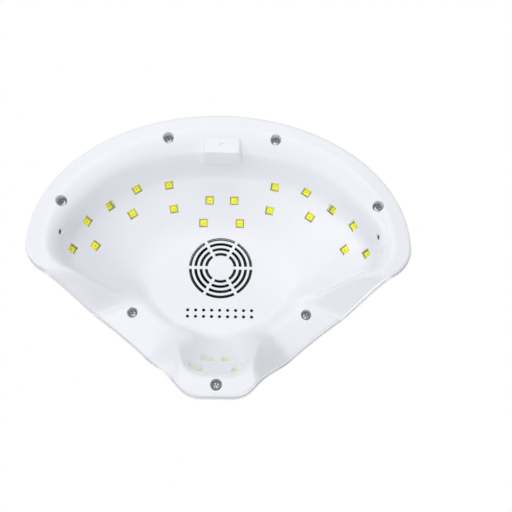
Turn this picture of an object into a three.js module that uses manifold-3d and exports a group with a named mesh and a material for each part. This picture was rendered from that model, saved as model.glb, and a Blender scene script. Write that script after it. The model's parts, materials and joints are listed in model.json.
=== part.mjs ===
// A two-hand LED nail lamp: a fan-shaped housing that stands on its back rim and on a front pillar.
// A hand goes in under the arch on each side of the pillar, so that its fingertips lie under the LEDs.
// Millimetres, +Z up, +Y towards the back. The origin is on the table, in the middle of the plan.
import * as THREE from "three";
import { mergeVertices } from "three/addons/utils/BufferGeometryUtils.js";
import Module from "manifold-3d";

const wasm = await Module();
wasm.setup();
const { lerp: mix, clamp, smoothstep, degToRad } = THREE.MathUtils;
const fullTurn = 2 * Math.PI;

// Housing
const halfWidth = 125; // plan outline at its widest, from the middle to one side
const backReach = 94; // depth of the back half-ellipse
const widestY = 3; // where the outline is widest
const frontReach = 96.5; // from the origin to the front of the pillar
const cornerRadius = 22; // rear corner of each hand opening
const cornerTurn = 62; // degrees that the corner turns through
const pillarFront = { halfWidth: 24.3, cornerDepth: 7.4, flatShare: 0.41, bendShare: 0.77, dropShare: 0.05 };
const openingPullShares = { front: 0.29, rear: 0.23 }; // of the opening's chord, along its end directions
const archRiseShare = 0.32; // part of an opening's length in which its edge climbs
const planCentreY = -5; // the rays that the mouldings are drawn along start here

const chamberHeight = 48; // table to the flat ceiling of the hand chamber
const archEdge = 47; // table to the outer edge of a hand opening
const lampHeight = 84; // table to the control panel at its middle
const panelTilt = 8; // degrees that the panel leans towards the user
const wall = 2.2; // both mouldings
const flange = 5; // upright edge of the inner shell, which the cover stands on
const coverLap = 1.2; // the cover's outer face stands this far outside the flange
const seam = 0.35; // gap between two pieces that touch
const overrun = 1; // how far a cutter runs past the face it cuts
const rimWidth = 41; // from the outline to where the domed part of the chamber starts
const ceiling = { halfX: 50, halfY: 37, y: -11 }; // flat ellipse in plan
const panel = { halfX: 47, halfY: 34, y: -5 };

// Sections of the chamber's face, from the flange inwards: shares of the rim's width and of the
// chamber's height. They are control points of a spline, for the back rim, the rear corners beside
// the hand openings, the pillar and an arch.
const rimShares = [
  [0.09, 0], [0.155, 0], [0.23, 0], [0.295, 0], [0.41, 0.04],
  [0.57, 0.1], [0.615, 0.22], [0.63, 0.4], [0.66, 0.555], [0.76, 0.66],
];
const cornerShares = [
  [0.09, 0], [0.155, 0], [0.22, 0], [0.29, 0], [0.36, 0.015],
  [0.44, 0.06], [0.5, 0.18], [0.54, 0.36], [0.6, 0.56], [0.84, 0.66],
];
const cornerSpreadShares = [0.12, 0.45]; // sine of the angle at which the corner's section fades out
const pillarShares = [
  [0.09, 0], [0.14, 0], [0.19, 0], [0.245, 0], [0.33, 0.01],
  [0.37, 0.05], [0.44, 0.16], [0.6, 0.37], [0.78, 0.57], [0.98, 0.78],
];
const archShares = [
  [0.073, 0.975], [0.15, 0.966], [0.225, 0.955], [0.3, 0.945], [0.375, 0.937],
  [0.45, 0.93], [0.52, 0.926], [0.59, 0.927], [0.66, 0.94], [0.73, 0.965],
];
const leanShares = [0, 0, 0, 0, 0, 0, 0.04, 0.1, 0.13, 0.11]; // the rim is this much wider at the back
const leanSpreadShares = [0.4, 0.9]; // from none at the sides to full at the back
const domeShares = [[0.38, 0.53], [0.76, 0.93], [1, 1]]; // way and rise from there to the ceiling
const pillarSpread = { full: 15, none: 38 }; // degrees either side of the front
// Section of the cover's outer face: inset share of the rim's width, way to the panel, rise to the panel
const coverShares = [
  { inset: 0, way: 0, rise: 0 },
  { inset: 0, way: 0, rise: 0.07 },
  { inset: 0.07, way: 0, rise: 0.25 },
  { inset: 0.14, way: 0.03, rise: 0.5 },
  { inset: 0.2, way: 0.16, rise: 0.76 },
  { inset: 0.2, way: 0.44, rise: 0.94 },
  { inset: 0.2, way: 0.8, rise: 1 },
  { inset: 0.2, way: 1, rise: 1 },
];
const rayCount = 50; // points round each ring of the mouldings
const cornerReach = 40; // a radian of the outline's turning counts as this much of its length
// Where the rings lie on the sections, counted in control points
const innerKnots = {
  lower: [0, 1.8, 2.8, 4, 6, 7.5, 8.7, 9.6, 10.5, 11.5, 12.5, 13.5, 15, 17],
  upper: [0, 2.6, 5, 7.5, 8.8, 9.9, 11, 12.2, 13.5, 15, 17],
};
const coverKnots = { outer: [0, 1.3, 2.6, 3.7, 4.6, 5.4, 6.2, 7.3, 9], inner: [0, 2.6, 4.4, 5.8, 7.2, 9] };

// Light: four LEDs to a board. Places are shares of the half width and of the back reach, and a turn.
const led = { size: 5, base: 0.9, domeRadius: 2.1, domeHeight: 1.5, domeSides: 6 };
const ledCrownShare = { radius: 0.72, height: 0.7 }; // where the dome's profile bends
const windowSize = 5.9; // square window in the chamber's face, open to the LED
const pillarWell = { mouth: 8.2, wall: 1.1 }; // the pillar's windows are deep wells that flare out
const boards = { thickness: 1.2, margin: 5.5, pillarMargin: 4.4, pillarLift: 1 };
const ledShares = {
  inner: [[0.474, 0.519, -38.5], [0.298, 0.57, -16.5], [0.271, 0.419, -16], [0.498, 0.359, -39]],
  outer: [[0.617, 0.391, -45], [0.73, 0.251, 24.5], [0.794, 0.031, 23.5], [0.685, 0.09, 29]],
  middle: [[0.07, 0.491, 0], [-0.07, 0.491, 0], [-0.104, 0.335, 0], [0.104, 0.335, 0]],
};
const pillarLeds = { near: { x: 6.65, inset: 28.7, turn: 0 }, far: { x: 13.04, inset: 19.7, turn: -12 } };

// Screws that hold the two mouldings together, heads in the chamber's face
const screw = { head: 2.75, headHeight: 2.1, shank: 1.25, bite: 7, crownShare: 0.75, sides: 7 };
const screwTower = { bore: 3.65, wall: 1.55, depth: 6, floor: 2.5, sides: 10 };
const coverBoss = { radius: 3, pilot: 1.7, spare: 2, sides: 8 };
const caseScrewShares = { rear: [0.291, 0.801], side: [0.831, 0.293], opening: [0.475, 0.336] };
const pillarScrewInset = 8.1;

// Grille, fan and vents
const fan = { y: 1.7, size: 45, depth: 10, corner: 3, rim: 1.3, hole: 1.8, holeInset: 4.5, lift: 1, boss: 3 };
const grille = { rings: 4, firstShare: 0.474, spare: 0.1, slot: 1.7, spoke: 2.1, spokes: 6, arcSteps: 2 };
const ductWall = 1.8;
const rotor = { cupWall: 0.9, plate: 1, low: 0.8, high: 7.8, shaft: 1, blades: 4, sides: 14 };
const hubShare = 0.542; // of the fan's bore
const bladeShares = {
  radii: [0.514, 0.707, 0.882],
  spreads: [0.158, 0.267, 0.341],
  rises: [0.43, 0.59, 0.55],
};
const bladeThickness = 1;
const motor = { margin: 1, plateHeight: 1.2, sleeve: 2.4, bearing: 1.35, arm: 4, arms: 3, boreSides: 20 };
const stator = { inner: 2.8, gap: 1.4, low: 2.6, high: 8.2, pole: 3.6, poles: 4, yoke: 4.6 };
const vents = { columns: 9, rows: 2, pitchX: 5.5, pitchY: 4.5, y: -29.1, radius: 1, sides: 6 };

// Socket housing at the back, and the sensors that see a hand
const jack = { halfWidth: 4.6, height: 10.8, z: 11, inset: 25, barrel: 3.7, bore: 2.75, pin: 1, depth: 9 };
const jackHole = 4.15;
const jackSides = 14;
const jackBlock = { bottom: 1.6, bevel: 1.2, halfWidth: 12.5, height: 15, draft: 2.5 };
const jackBlockInset = { front: 29.4, back: 18 };
const jackRib = { wall: 2.2, height: 6 };
const dimple = { radius: 1.8, depth: 0.7, sides: 8, share: 0.5 };
const sensor = { angle: 9, z: 8.3, lens: 1.3, flange: 2.2, flangeHeight: 2, sides: 8 };
const sensorHole = { lens: 1.65, flange: 2.6, wall: 1.2, sides: 8 };

// Control panel
const lensPanel = { width: 39.3, depth: 18.3, y: 6, thickness: 1.1 };
const lensCorner = 2.4;
const lensLedge = 2.6; // width of the ledge that carries the display's lens
const display = { width: 33, depth: 12.5 };
const key = { radius: 5.2, rise: 1, flange: 6.4, flangeHeight: 1.1, stem: 1.5, sides: 10 };
const keyRow = { count: 4, pitch: 15, y: -15 };
const keySwitch = { size: 6, height: 3.6, well: 2, wellDepth: 2.2, stemIn: 0.6, sides: 8 };
const mainBoard = { halfWidth: 38, front: -24, back: 20, top: -9.2, thickness: 1.6 };
const boardFixing = { x: 34, front: -17, back: 14, boss: 2.8, pilot: 1.45 };
const boardScrew = { shank: 1.1, head: 2.2, headHeight: 1.5, hole: 1.5 };
const buzzer = { inset: 10, y: 4, radius: 5, height: 5.5, port: 1, sides: 12 };

const materials = {
  gloss_white: new THREE.MeshStandardMaterial({ color: 0xeeeef2, roughness: 0.25 }),
  reflector_white: new THREE.MeshStandardMaterial({ color: 0xececf1, roughness: 0.35 }),
  led_yellow: new THREE.MeshStandardMaterial({ color: 0xe6ea3c, roughness: 0.4 }),
  board_white: new THREE.MeshStandardMaterial({ color: 0xe8e8e4, roughness: 0.5 }),
  board_green: new THREE.MeshStandardMaterial({ color: 0x1f6b3a, roughness: 0.5 }),
  fan_black: new THREE.MeshStandardMaterial({ color: 0x141416, roughness: 0.5 }),
  steel: new THREE.MeshStandardMaterial({ color: 0xb8b8b4, roughness: 0.3, metalness: 1 }),
  copper: new THREE.MeshStandardMaterial({ color: 0xb87333, roughness: 0.4, metalness: 1 }),
  smoked_lens: new THREE.MeshStandardMaterial({ color: 0x16181c, roughness: 0.1 }),
  black_plastic: new THREE.MeshStandardMaterial({ color: 0x18181a, roughness: 0.4 }),
  key_grey: new THREE.MeshStandardMaterial({ color: 0xd4d5da, roughness: 0.35 }),
};

// Solids

// A closed geometry as a solid that can be joined and cut, facing outwards.
function solid(geometry, matrix) {
  const bare = new THREE.BufferGeometry();
  bare.setAttribute("position", geometry.getAttribute("position"));
  if (geometry.index) bare.setIndex(geometry.index);
  if (matrix) bare.applyMatrix4(matrix);
  const merged = mergeVertices(bare, 1e-4);
  const corners = merged.index.array;
  const build = (order) => {
    const triVerts = [];
    for (let i = 0; i < corners.length; i += 3) {
      const [a, b, c] = order.map((j) => corners[i + j]);
      if (a !== b && b !== c && c !== a) triVerts.push(a, b, c);
    }
    const vertProperties = merged.attributes.position.array;
    return new wasm.Manifold(
      new wasm.Mesh({ numProp: 3, vertProperties, triVerts: new Uint32Array(triVerts) }),
    );
  };
  const made = build([0, 1, 2]);
  return made.volume() < 0 ? build([0, 2, 1]) : made;
}

// Closed surface through rings of equal length, from the lowest to the highest, each end closed by a point.
function loft(rings, startPoint, endPoint) {
  const count = rings[0].length;
  const points = [startPoint, ...rings.flat(), endPoint];
  const faces = [];
  const at = (ring, i) => 1 + ring * count + (i % count);
  for (let i = 0; i < count; i++) {
    faces.push(0, at(0, i + 1), at(0, i));
    for (let ring = 0; ring < rings.length - 1; ring++) {
      faces.push(at(ring, i), at(ring, i + 1), at(ring + 1, i + 1));
      faces.push(at(ring, i), at(ring + 1, i + 1), at(ring + 1, i));
    }
    faces.push(points.length - 1, at(rings.length - 1, i), at(rings.length - 1, i + 1));
  }
  const geometry = new THREE.BufferGeometry();
  geometry.setAttribute("position", new THREE.Float32BufferAttribute(points.flat(), 3));
  geometry.setIndex(faces);
  return solid(geometry);
}

// Plan outline

const outlineSteps = 60; // points on each of the outline's curves

// Half of the outline from the pillar's front to the middle of the back, each point with its arch share.
function halfOutline() {
  const turn = degToRad(cornerTurn);
  const cornerX = halfWidth - cornerRadius;
  const rear = new THREE.Vector2(
    cornerX + cornerRadius * Math.cos(turn),
    widestY - cornerRadius * Math.sin(turn),
  );
  const { halfWidth: width, cornerDepth, flatShare, bendShare, dropShare } = pillarFront;
  const bend = new THREE.Vector2(bendShare * width, dropShare * cornerDepth - frontReach);
  const side = new THREE.Vector2(width, cornerDepth - frontReach);
  const pillar = new THREE.Path();
  pillar.moveTo(0, -frontReach);
  pillar.lineTo(flatShare * width, -frontReach);
  pillar.quadraticCurveTo(bend.x, bend.y, side.x, side.y);
  const chord = side.distanceTo(rear);
  const opening = new THREE.CubicBezierCurve(
    side,
    side.clone().sub(bend).setLength(openingPullShares.front * chord).add(side),
    new THREE.Vector2(-Math.sin(turn), -Math.cos(turn))
      .multiplyScalar(openingPullShares.rear * chord)
      .add(rear),
    rear,
  );
  const corner = new THREE.EllipseCurve(cornerX, widestY, cornerRadius, cornerRadius, -turn, 0);
  const back = new THREE.EllipseCurve(0, widestY, halfWidth, backReach, 0, Math.PI / 2);
  const rise = (share) => smoothstep(share, 0, archRiseShare);
  const points = [];
  const add = (curve, arch) => {
    curve.getSpacedPoints(outlineSteps).slice(0, -1).forEach((p, i) => {
      points.push({ x: p.x, y: p.y, arch: arch(i / outlineSteps) });
    });
  };
  add(pillar, () => 0);
  add(opening, (share) => rise(share) * rise(1 - share));
  add(corner, () => 0);
  add(back, () => 0);
  points.push({ x: 0, y: widestY + backReach, arch: 0 });
  return points;
}

const rightHalf = halfOutline();
const leftHalf = rightHalf.slice(1, -1).reverse().map((p) => ({ ...p, x: -p.x }));
const outline = [...rightHalf, ...leftHalf];

const angleOf = (x, y) => Math.atan2(y - planCentreY, x);
const radiusOf = (p) => Math.hypot(p.x, p.y - planCentreY);

// Shortest way from a plan point to the outline.
function toOutline(x, y) {
  let best = Infinity;
  for (let i = 0; i < outline.length; i++) {
    const a = outline[i];
    const b = outline[(i + 1) % outline.length];
    const dx = b.x - a.x;
    const dy = b.y - a.y;
    const share = clamp(((x - a.x) * dx + (y - a.y) * dy) / (dx * dx + dy * dy), 0, 1);
    best = Math.min(best, Math.hypot(x - a.x - share * dx, y - a.y - share * dy));
  }
  return best;
}

// Values at points round the plan, as a function of the angle.
function byAngle(points, value) {
  const table = points.map((p) => [angleOf(p.x, p.y), value(p)]).sort((a, b) => a[0] - b[0]);
  const first = table[0];
  const last = table[table.length - 1];
  table.unshift([last[0] - fullTurn, last[1]]);
  table.push([first[0] + fullTurn, first[1]]);
  return (angle) => {
    const a = Math.atan2(Math.sin(angle), Math.cos(angle));
    let low = 0;
    let high = table.length - 1;
    while (high - low > 1) {
      const middle = (low + high) >> 1;
      if (table[middle][0] <= a) low = middle;
      else high = middle;
    }
    return mix(table[low][1], table[high][1], (a - table[low][0]) / (table[high][0] - table[low][0]));
  };
}

const outlineRadius = byAngle(outline, radiusOf);
const archAt = byAngle(outline, (p) => p.arch);

// Radius of the curve that lies a given way inside the outline.
function insetRadius(angle, inset) {
  let far = outlineRadius(angle);
  if (inset <= 0) return far - inset;
  let near = 0;
  for (let i = 0; i < 16; i++) {
    const middle = (near + far) / 2;
    if (toOutline(middle * Math.cos(angle), planCentreY + middle * Math.sin(angle)) >= inset) near = middle;
    else far = middle;
  }
  return (near + far) / 2;
}

// Radius of a flat ellipse in plan.
function ellipseRadius(flat) {
  const curve = new THREE.EllipseCurve(0, flat.y, flat.halfX, flat.halfY);
  return byAngle(curve.getPoints(4 * outlineSteps).slice(0, -1), radiusOf);
}
const ceilingRadius = ellipseRadius(ceiling);
const panelRadius = ellipseRadius(panel);

// Sections

const pillarAt = (angle) => {
  const off = Math.abs(Math.atan2(Math.cos(angle), -Math.sin(angle)));
  return 1 - smoothstep(off, degToRad(pillarSpread.full), degToRad(pillarSpread.none));
};
const flangeTop = (angle) => archEdge * archAt(angle) + flange;

const cornerAt = (angle) => 1 - smoothstep(Math.abs(Math.sin(angle)), ...cornerSpreadShares);

// Control points of the chamber's face at one angle, as radius and height.
function chamberControls(angle) {
  const arch = archAt(angle);
  const pillar = pillarAt(angle);
  const corner = cornerAt(angle);
  const lean = smoothstep(Math.sin(angle), ...leanSpreadShares);
  const edge = insetRadius(angle, coverLap);
  const top = flangeTop(angle);
  const controls = [[edge, top], [edge, (top + archEdge * arch) / 2], [edge, archEdge * arch]];
  rimShares.forEach((back, i) => {
    const [rimInset, rimRise] = back.map((share, k) => mix(share, cornerShares[i][k], corner));
    const rim = outlineRadius(angle) - (rimInset + lean * leanShares[i]) * rimWidth;
    const front = outlineRadius(angle) - pillarShares[i][0] * rimWidth;
    const side = insetRadius(angle, archShares[i][0] * rimWidth);
    const rise = mix(mix(rimRise, pillarShares[i][1], pillar), archShares[i][1], arch);
    controls.push([mix(mix(rim, front, pillar), side, arch), chamberHeight * rise]);
  });
  const [start, startZ] = controls[controls.length - 1];
  domeShares.forEach(([way, rise]) => {
    controls.push([mix(start, ceilingRadius(angle), way), mix(startZ, chamberHeight, rise)]);
  });
  return controls;
}

// Control points of the cover's outer face.
const panelZ = (y) => lampHeight + Math.tan(degToRad(panelTilt)) * (y - panel.y);

function coverControls(angle) {
  const edgeZ = flangeTop(angle) + seam;
  return coverShares.map(({ inset, way, rise }) => {
    const radius = mix(insetRadius(angle, inset * rimWidth), panelRadius(angle), way);
    return [radius, mix(edgeZ, panelZ(planCentreY + radius * Math.sin(angle)), rise)];
  });
}

// Control points all round, with their radii eased along the outline so that no corner creases.
const angleSteps = 360;
const easeSteps = 5;
function easedTable(controlsAt, sharpRows) {
  const raw = [];
  for (let i = 0; i < angleSteps; i++) raw.push(controlsAt((i / angleSteps) * fullTurn));
  return raw.map((controls, i) =>
    controls.map((control, j) => {
      if (j < sharpRows) return control;
      let radius = 0;
      let weight = 0;
      for (let k = -easeSteps; k <= easeSteps; k++) {
        const w = 1 + easeSteps - Math.abs(k);
        radius += w * raw[(i + k + angleSteps) % angleSteps][j][0];
        weight += w;
      }
      return [radius / weight, control[1]];
    }),
  );
}

// The control points at any angle, between two rows of a table.
function controlsIn(table, angle) {
  const place = ((((angle / fullTurn) % 1) + 1) % 1) * angleSteps;
  const i = Math.floor(place);
  const a = table[i % angleSteps];
  const b = table[(i + 1) % angleSteps];
  return a.map((control, j) => control.map((value, k) => mix(value, b[j][k], place - i)));
}

// Cubic spline that starts and ends on its end controls, at a knot from 0 to the last.
function spline(controls, knot) {
  const last = controls.length - 1;
  const at = (i) => controls[clamp(i, 0, last)];
  const i = Math.min(Math.floor(knot), last + 1);
  const f = knot - i;
  const weights = [
    (1 - f) ** 3 / 6,
    (3 * f ** 3 - 6 * f ** 2 + 4) / 6,
    (-3 * f ** 3 + 3 * f ** 2 + 3 * f + 1) / 6,
    f ** 3 / 6,
  ];
  return controls[0].map((_, k) => weights.reduce((sum, w, j) => sum + w * at(i + j - 2)[k], 0));
}

const chamberTable = easedTable(chamberControls, 6);
const coverTable = easedTable(coverControls, 3);
const knotCount = (table) => table[0].length + 1;

// A point of a section, moved off its face by a distance towards the inside of the housing.
function sectionPoint(table, angle, knot, offset = 0) {
  const controls = controlsIn(table, angle);
  let [radius, z] = spline(controls, knot);
  if (offset) {
    const step = 1e-3;
    const before = spline(controls, Math.max(knot - step, 0));
    const after = spline(controls, Math.min(knot + step, knotCount(table)));
    const dr = after[0] - before[0];
    const dz = after[1] - before[1];
    const length = Math.hypot(dr, dz);
    radius += (offset * dz) / length;
    z -= (offset * dr) / length;
  }
  return [radius * Math.cos(angle), planCentreY + radius * Math.sin(angle), z];
}

// Angles of the rays: spaced along the outline, closer together where it turns.
function rayAngles() {
  const heading = (i) => {
    const a = outline[(i + outline.length) % outline.length];
    const b = outline[(i + 1) % outline.length];
    return Math.atan2(b.y - a.y, b.x - a.x);
  };
  const places = [0];
  outline.forEach((a, i) => {
    const b = outline[(i + 1) % outline.length];
    const bend = heading(i + 1) - heading(i - 1);
    const turning = Math.abs(Math.atan2(Math.sin(bend), Math.cos(bend))) / 2;
    places.push(places[i] + Math.hypot(b.x - a.x, b.y - a.y) + cornerReach * turning);
  });
  const total = places[outline.length];
  return Array.from({ length: rayCount }, (_, k) => {
    const place = (total * k) / rayCount;
    const i = places.findIndex((value, j) => value <= place && places[j + 1] > place);
    const a = outline[i];
    const b = outline[(i + 1) % outline.length];
    const share = (place - places[i]) / (places[i + 1] - places[i]);
    return angleOf(mix(a.x, b.x, share), mix(a.y, b.y, share));
  });
}
const rays = rayAngles();
const ring = (table, knot, offset = 0) => rays.map((angle) => sectionPoint(table, angle, knot, offset));

// Mouldings

const overCentre = (z) => [0, planCentreY, z];

function innerMoulding() {
  const lower = innerKnots.lower.map((knot) => ring(chamberTable, knot));
  const upper = innerKnots.upper.map((knot) => ring(chamberTable, knot, wall));
  return loft(
    [...lower.reverse(), ...upper],
    overCentre(chamberHeight),
    overCentre(chamberHeight + wall),
  );
}

// Everything above the middle of the inner shell's wall, for what stands on it.
function aboveInner() {
  const faces = innerKnots.upper.map((knot) => ring(chamberTable, knot, wall / 2));
  const high = faces[0].map(([x, y]) => [x, y, lampHeight]);
  return loft([...faces.reverse(), high], overCentre(chamberHeight + wall / 2), overCentre(lampHeight));
}

function coverMoulding() {
  const outer = coverKnots.outer.map((knot) => ring(coverTable, knot));
  const inner = coverKnots.inner.map((knot) => ring(coverTable, knot, -wall));
  const middleZ = panelZ(planCentreY);
  return loft([...inner.reverse(), ...outer], overCentre(middleZ - wall), overCentre(middleZ));
}

// Everything under the middle of the cover's wall, for what hangs from it.
function underCover() {
  const faces = coverKnots.inner.map((knot) => ring(coverTable, knot, -wall / 2));
  const low = faces[0].map(([x, y]) => [x, y, 0]);
  return loft([low, ...faces], overCentre(0), overCentre(panelZ(planCentreY) - wall / 2));
}

// The knot at which a section reaches a height, on a stretch of it that climbs.
function knotAtHeight(table, angle, z, low, high) {
  for (let i = 0; i < 30; i++) {
    const middle = (low + high) / 2;
    if (sectionPoint(table, angle, middle)[2] < z) low = middle;
    else high = middle;
  }
  return low;
}

// The point of the chamber's face at a place in plan.
const flatKnot = 3; // from here the sections run inwards only
function onChamber(x, y) {
  const angle = angleOf(x, y);
  const reach = Math.hypot(x, y - planCentreY);
  let low = flatKnot;
  let high = knotCount(chamberTable);
  if (reach <= spline(controlsIn(chamberTable, angle), high)[0]) {
    return new THREE.Vector3(x, y, chamberHeight);
  }
  for (let i = 0; i < 30; i++) {
    const middle = (low + high) / 2;
    if (spline(controlsIn(chamberTable, angle), middle)[0] > reach) low = middle;
    else high = middle;
  }
  return new THREE.Vector3(x, y, sectionPoint(chamberTable, angle, low)[2]);
}

// Simple solids and frames

const at = (x, y, z) => new THREE.Matrix4().makeTranslation(x, y, z);
const turned = (degrees) => new THREE.Matrix4().makeRotationZ(degToRad(degrees));
const times = (...frames) => frames.reduce((all, frame) => all.multiply(frame), new THREE.Matrix4());
const upsideDown = new THREE.Matrix4().makeRotationX(Math.PI);
const pointingBack = new THREE.Matrix4().makeRotationX(-Math.PI / 2);

// A box by its lowest and highest corners.
function box(low, high, frame = new THREE.Matrix4()) {
  const size = high.map((value, i) => value - low[i]);
  const middle = high.map((value, i) => (value + low[i]) / 2);
  return solid(new THREE.BoxGeometry(...size), times(frame, at(...middle)));
}

// A round bar along Z, standing at low.
function bar(low, high, radius, sides, frame = new THREE.Matrix4()) {
  const shape = new THREE.CylinderGeometry(radius, radius, high - low, sides);
  shape.rotateX(Math.PI / 2);
  return solid(shape, times(frame, at(0, 0, (low + high) / 2)));
}

// A plan shape pushed up from low to high.
function slab(shape, low, high, frame = new THREE.Matrix4(), steps = 12) {
  const options = { depth: high - low, bevelEnabled: false, curveSegments: steps };
  return solid(new THREE.ExtrudeGeometry(shape, options), times(frame, at(0, 0, low)));
}

function roundedRect(width, depth, corner) {
  const x = width / 2 - corner;
  const y = depth / 2 - corner;
  const shape = new THREE.Shape();
  [[x, y, 0], [-x, y, 1], [-x, -y, 2], [x, -y, 3]].forEach(([cx, cy, quarter]) => {
    shape.absarc(cx, cy, corner, (quarter * fullTurn) / 4, ((quarter + 1) * fullTurn) / 4);
  });
  return shape;
}
const cornerSteps = 3;

// A profile of radii and heights turned about Z.
function lathe(profile, sides, frame) {
  const shape = new THREE.LatheGeometry(profile.map(([r, z]) => new THREE.Vector2(r, z)), sides);
  shape.rotateX(Math.PI / 2);
  return solid(shape, frame);
}

const joined = (solids) => solids.reduce((all, next) => all.add(next));
const lamp = new THREE.Group();

// A solid, or a closed geometry, as a named mesh.
function piece(name, made, material, parent = lamp, frame = new THREE.Matrix4()) {
  const mesh = (made.isBufferGeometry ? solid(made) : made).getMesh();
  const geometry = new THREE.BufferGeometry();
  geometry.setAttribute("position", new THREE.BufferAttribute(mesh.vertProperties, 3));
  geometry.setIndex(new THREE.BufferAttribute(mesh.triVerts, 1));
  geometry.computeVertexNormals();
  const node = new THREE.Mesh(geometry, materials[material]);
  node.name = name;
  node.applyMatrix4(frame);
  parent.add(node);
  return node;
}

// Light boards: each lies flat, just clear of the shell above its four LEDs

const backY = widestY + backReach;
const placed = (places, side) =>
  places.map(([x, y, turn]) => [side * x * halfWidth, widestY + y * backReach, side * turn]);
const pillarPlace = ({ x, inset, turn }, side) => [side * x, inset - frontReach, side * turn];
const boardPlaces = {
  right_inner: placed(ledShares.inner, 1),
  right_outer: placed(ledShares.outer, 1),
  left_inner: placed(ledShares.inner, -1),
  left_outer: placed(ledShares.outer, -1),
  middle: placed(ledShares.middle, 1),
  pillar: [
    pillarPlace(pillarLeds.near, 1), pillarPlace(pillarLeds.near, -1),
    pillarPlace(pillarLeds.far, -1), pillarPlace(pillarLeds.far, 1),
  ],
};
const gridSteps = 6;
const probe = 0.5; // a short step over the face, to find which way it looks

// The point of the shell's upper face over a place of the chamber's face.
function onUpperFace(x, y) {
  const p = onChamber(x, y);
  const alongX = onChamber(x + probe, y).sub(p);
  const alongY = onChamber(x, y + probe).sub(p);
  return alongX.cross(alongY).setLength(wall).add(p);
}

function lightBoard(name, places) {
  const [lift, margin] = name === "pillar" ? [boards.pillarLift, boards.pillarMargin] : [seam, boards.margin];
  const spots = places.map(([x, y]) => onChamber(x, y));
  const centre = spots.reduce((sum, p) => sum.add(p), new THREE.Vector3()).divideScalar(spots.length);
  const up = spots[2].clone().sub(spots[0]).cross(spots[3].clone().sub(spots[1])).normalize();
  if (up.z < 0) up.negate();
  const across = new THREE.Vector3(0, 1, 0).cross(up).normalize();
  const along = up.clone().cross(across);
  const corners = spots.map((p) => {
    const out = p.clone().sub(centre).projectOnPlane(up);
    return out.setLength(out.length() + margin).add(centre);
  });
  let highest = -Infinity;
  for (let i = 0; i <= gridSteps; i++) {
    for (let j = 0; j <= gridSteps; j++) {
      const near = corners[0].clone().lerp(corners[1], i / gridSteps);
      const far = corners[3].clone().lerp(corners[2], i / gridSteps);
      const p = near.lerp(far, j / gridSteps);
      highest = Math.max(highest, onUpperFace(p.x, p.y).sub(centre).dot(up));
    }
  }
  const origin = centre.clone().addScaledVector(up, highest + lift);
  const frame = new THREE.Matrix4().makeBasis(across, along, up).setPosition(origin);
  const inverse = frame.clone().invert();
  const local = spots.map((p) => p.clone().applyMatrix4(inverse));
  const outlineShape = new THREE.Shape(
    corners.map((p) => p.applyMatrix4(inverse)).map((p) => new THREE.Vector2(p.x, p.y)),
  );
  return { name, frame, local, outlineShape, turns: places.map((place) => place[2]) };
}
const lightBoards = Object.entries(boardPlaces).map(([name, places]) => lightBoard(name, places));

// A four-sided shaft that widens downwards, for a well and its window.
function squareShaft(lowSize, highSize, low, high, frame) {
  const shape = new THREE.CylinderGeometry(highSize / Math.SQRT2, lowSize / Math.SQRT2, high - low, 4);
  shape.rotateY(Math.PI / 4);
  shape.rotateX(Math.PI / 2);
  return solid(shape, times(frame, at(0, 0, (low + high) / 2)));
}

const wellWalls = [];
const wellHoles = [];
lightBoards.forEach(({ name, frame, local, turns }) => {
  const mouth = name === "pillar" ? pillarWell.mouth : windowSize;
  local.forEach((p, i) => {
    const place = times(frame, at(p.x, p.y, 0), turned(turns[i]));
    wellHoles.push(squareShaft(mouth, windowSize, p.z - mouth / 2, 0, place));
    if (name !== "pillar") return;
    const around = 2 * pillarWell.wall;
    wellWalls.push(squareShaft(mouth + around, windowSize + around, p.z, -seam, place));
  });
});

// Case screws

const [rear, side, opening] = [caseScrewShares.rear, caseScrewShares.side, caseScrewShares.opening];
const caseScrewSpots = {
  rear: [rear[0] * halfWidth, widestY + rear[1] * backReach],
  side: [side[0] * halfWidth, widestY + side[1] * backReach],
  opening: [opening[0] * halfWidth, -opening[1] * frontReach],
};
function screwPlace(name, x, y) {
  const seat = onChamber(x, y).z + screwTower.depth;
  return { name, x, y, seat, top: seat + screwTower.floor };
}
const caseScrews = [
  ...Object.entries(caseScrewSpots).flatMap(([name, [x, y]]) => [
    screwPlace(`right_${name}`, x, y),
    screwPlace(`left_${name}`, -x, y),
  ]),
  screwPlace("pillar", 0, pillarScrewInset - frontReach),
];

// Inner shell

const fanFoot = chamberHeight + wall + fan.lift; // top of what the fan stands on
const fanHoleAt = fan.size / 2 - fan.holeInset;
const fanHoles = [[1, 1], [-1, 1], [-1, -1], [1, -1]].map(([x, y]) => [
  x * fanHoleAt,
  fan.y + y * fanHoleAt,
]);
const fanBore = fan.size / 2 - fan.rim;
const lastRing = fanBore + grille.spare;
const firstRing = grille.firstShare * lastRing;
const ringStep = (lastRing - firstRing) / (grille.rings - 1);
const ductBore = lastRing + grille.slot / 2;

// One slot of the grille, between two spokes.
function slotShape(radius) {
  const inner = radius - grille.slot / 2;
  const outer = radius + grille.slot / 2;
  const share = fullTurn / grille.spokes;
  const trim = (r) => Math.asin(grille.spoke / 2 / r);
  const shape = new THREE.Shape();
  shape.absarc(0, 0, outer, trim(outer), share - trim(outer), false);
  shape.absarc(0, 0, inner, share - trim(inner), trim(inner), true);
  shape.closePath();
  return shape;
}

function grilleSlots() {
  const slots = [];
  for (let i = 0; i < grille.rings; i++) {
    for (let j = 0; j < grille.spokes; j++) {
      const place = times(at(0, fan.y, 0), turned((360 / grille.spokes) * j));
      const low = chamberHeight - overrun;
      const shape = slotShape(firstRing + i * ringStep);
      slots.push(slab(shape, low, chamberHeight + wall + overrun, place, grille.arcSteps));
    }
  }
  return slots;
}

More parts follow.
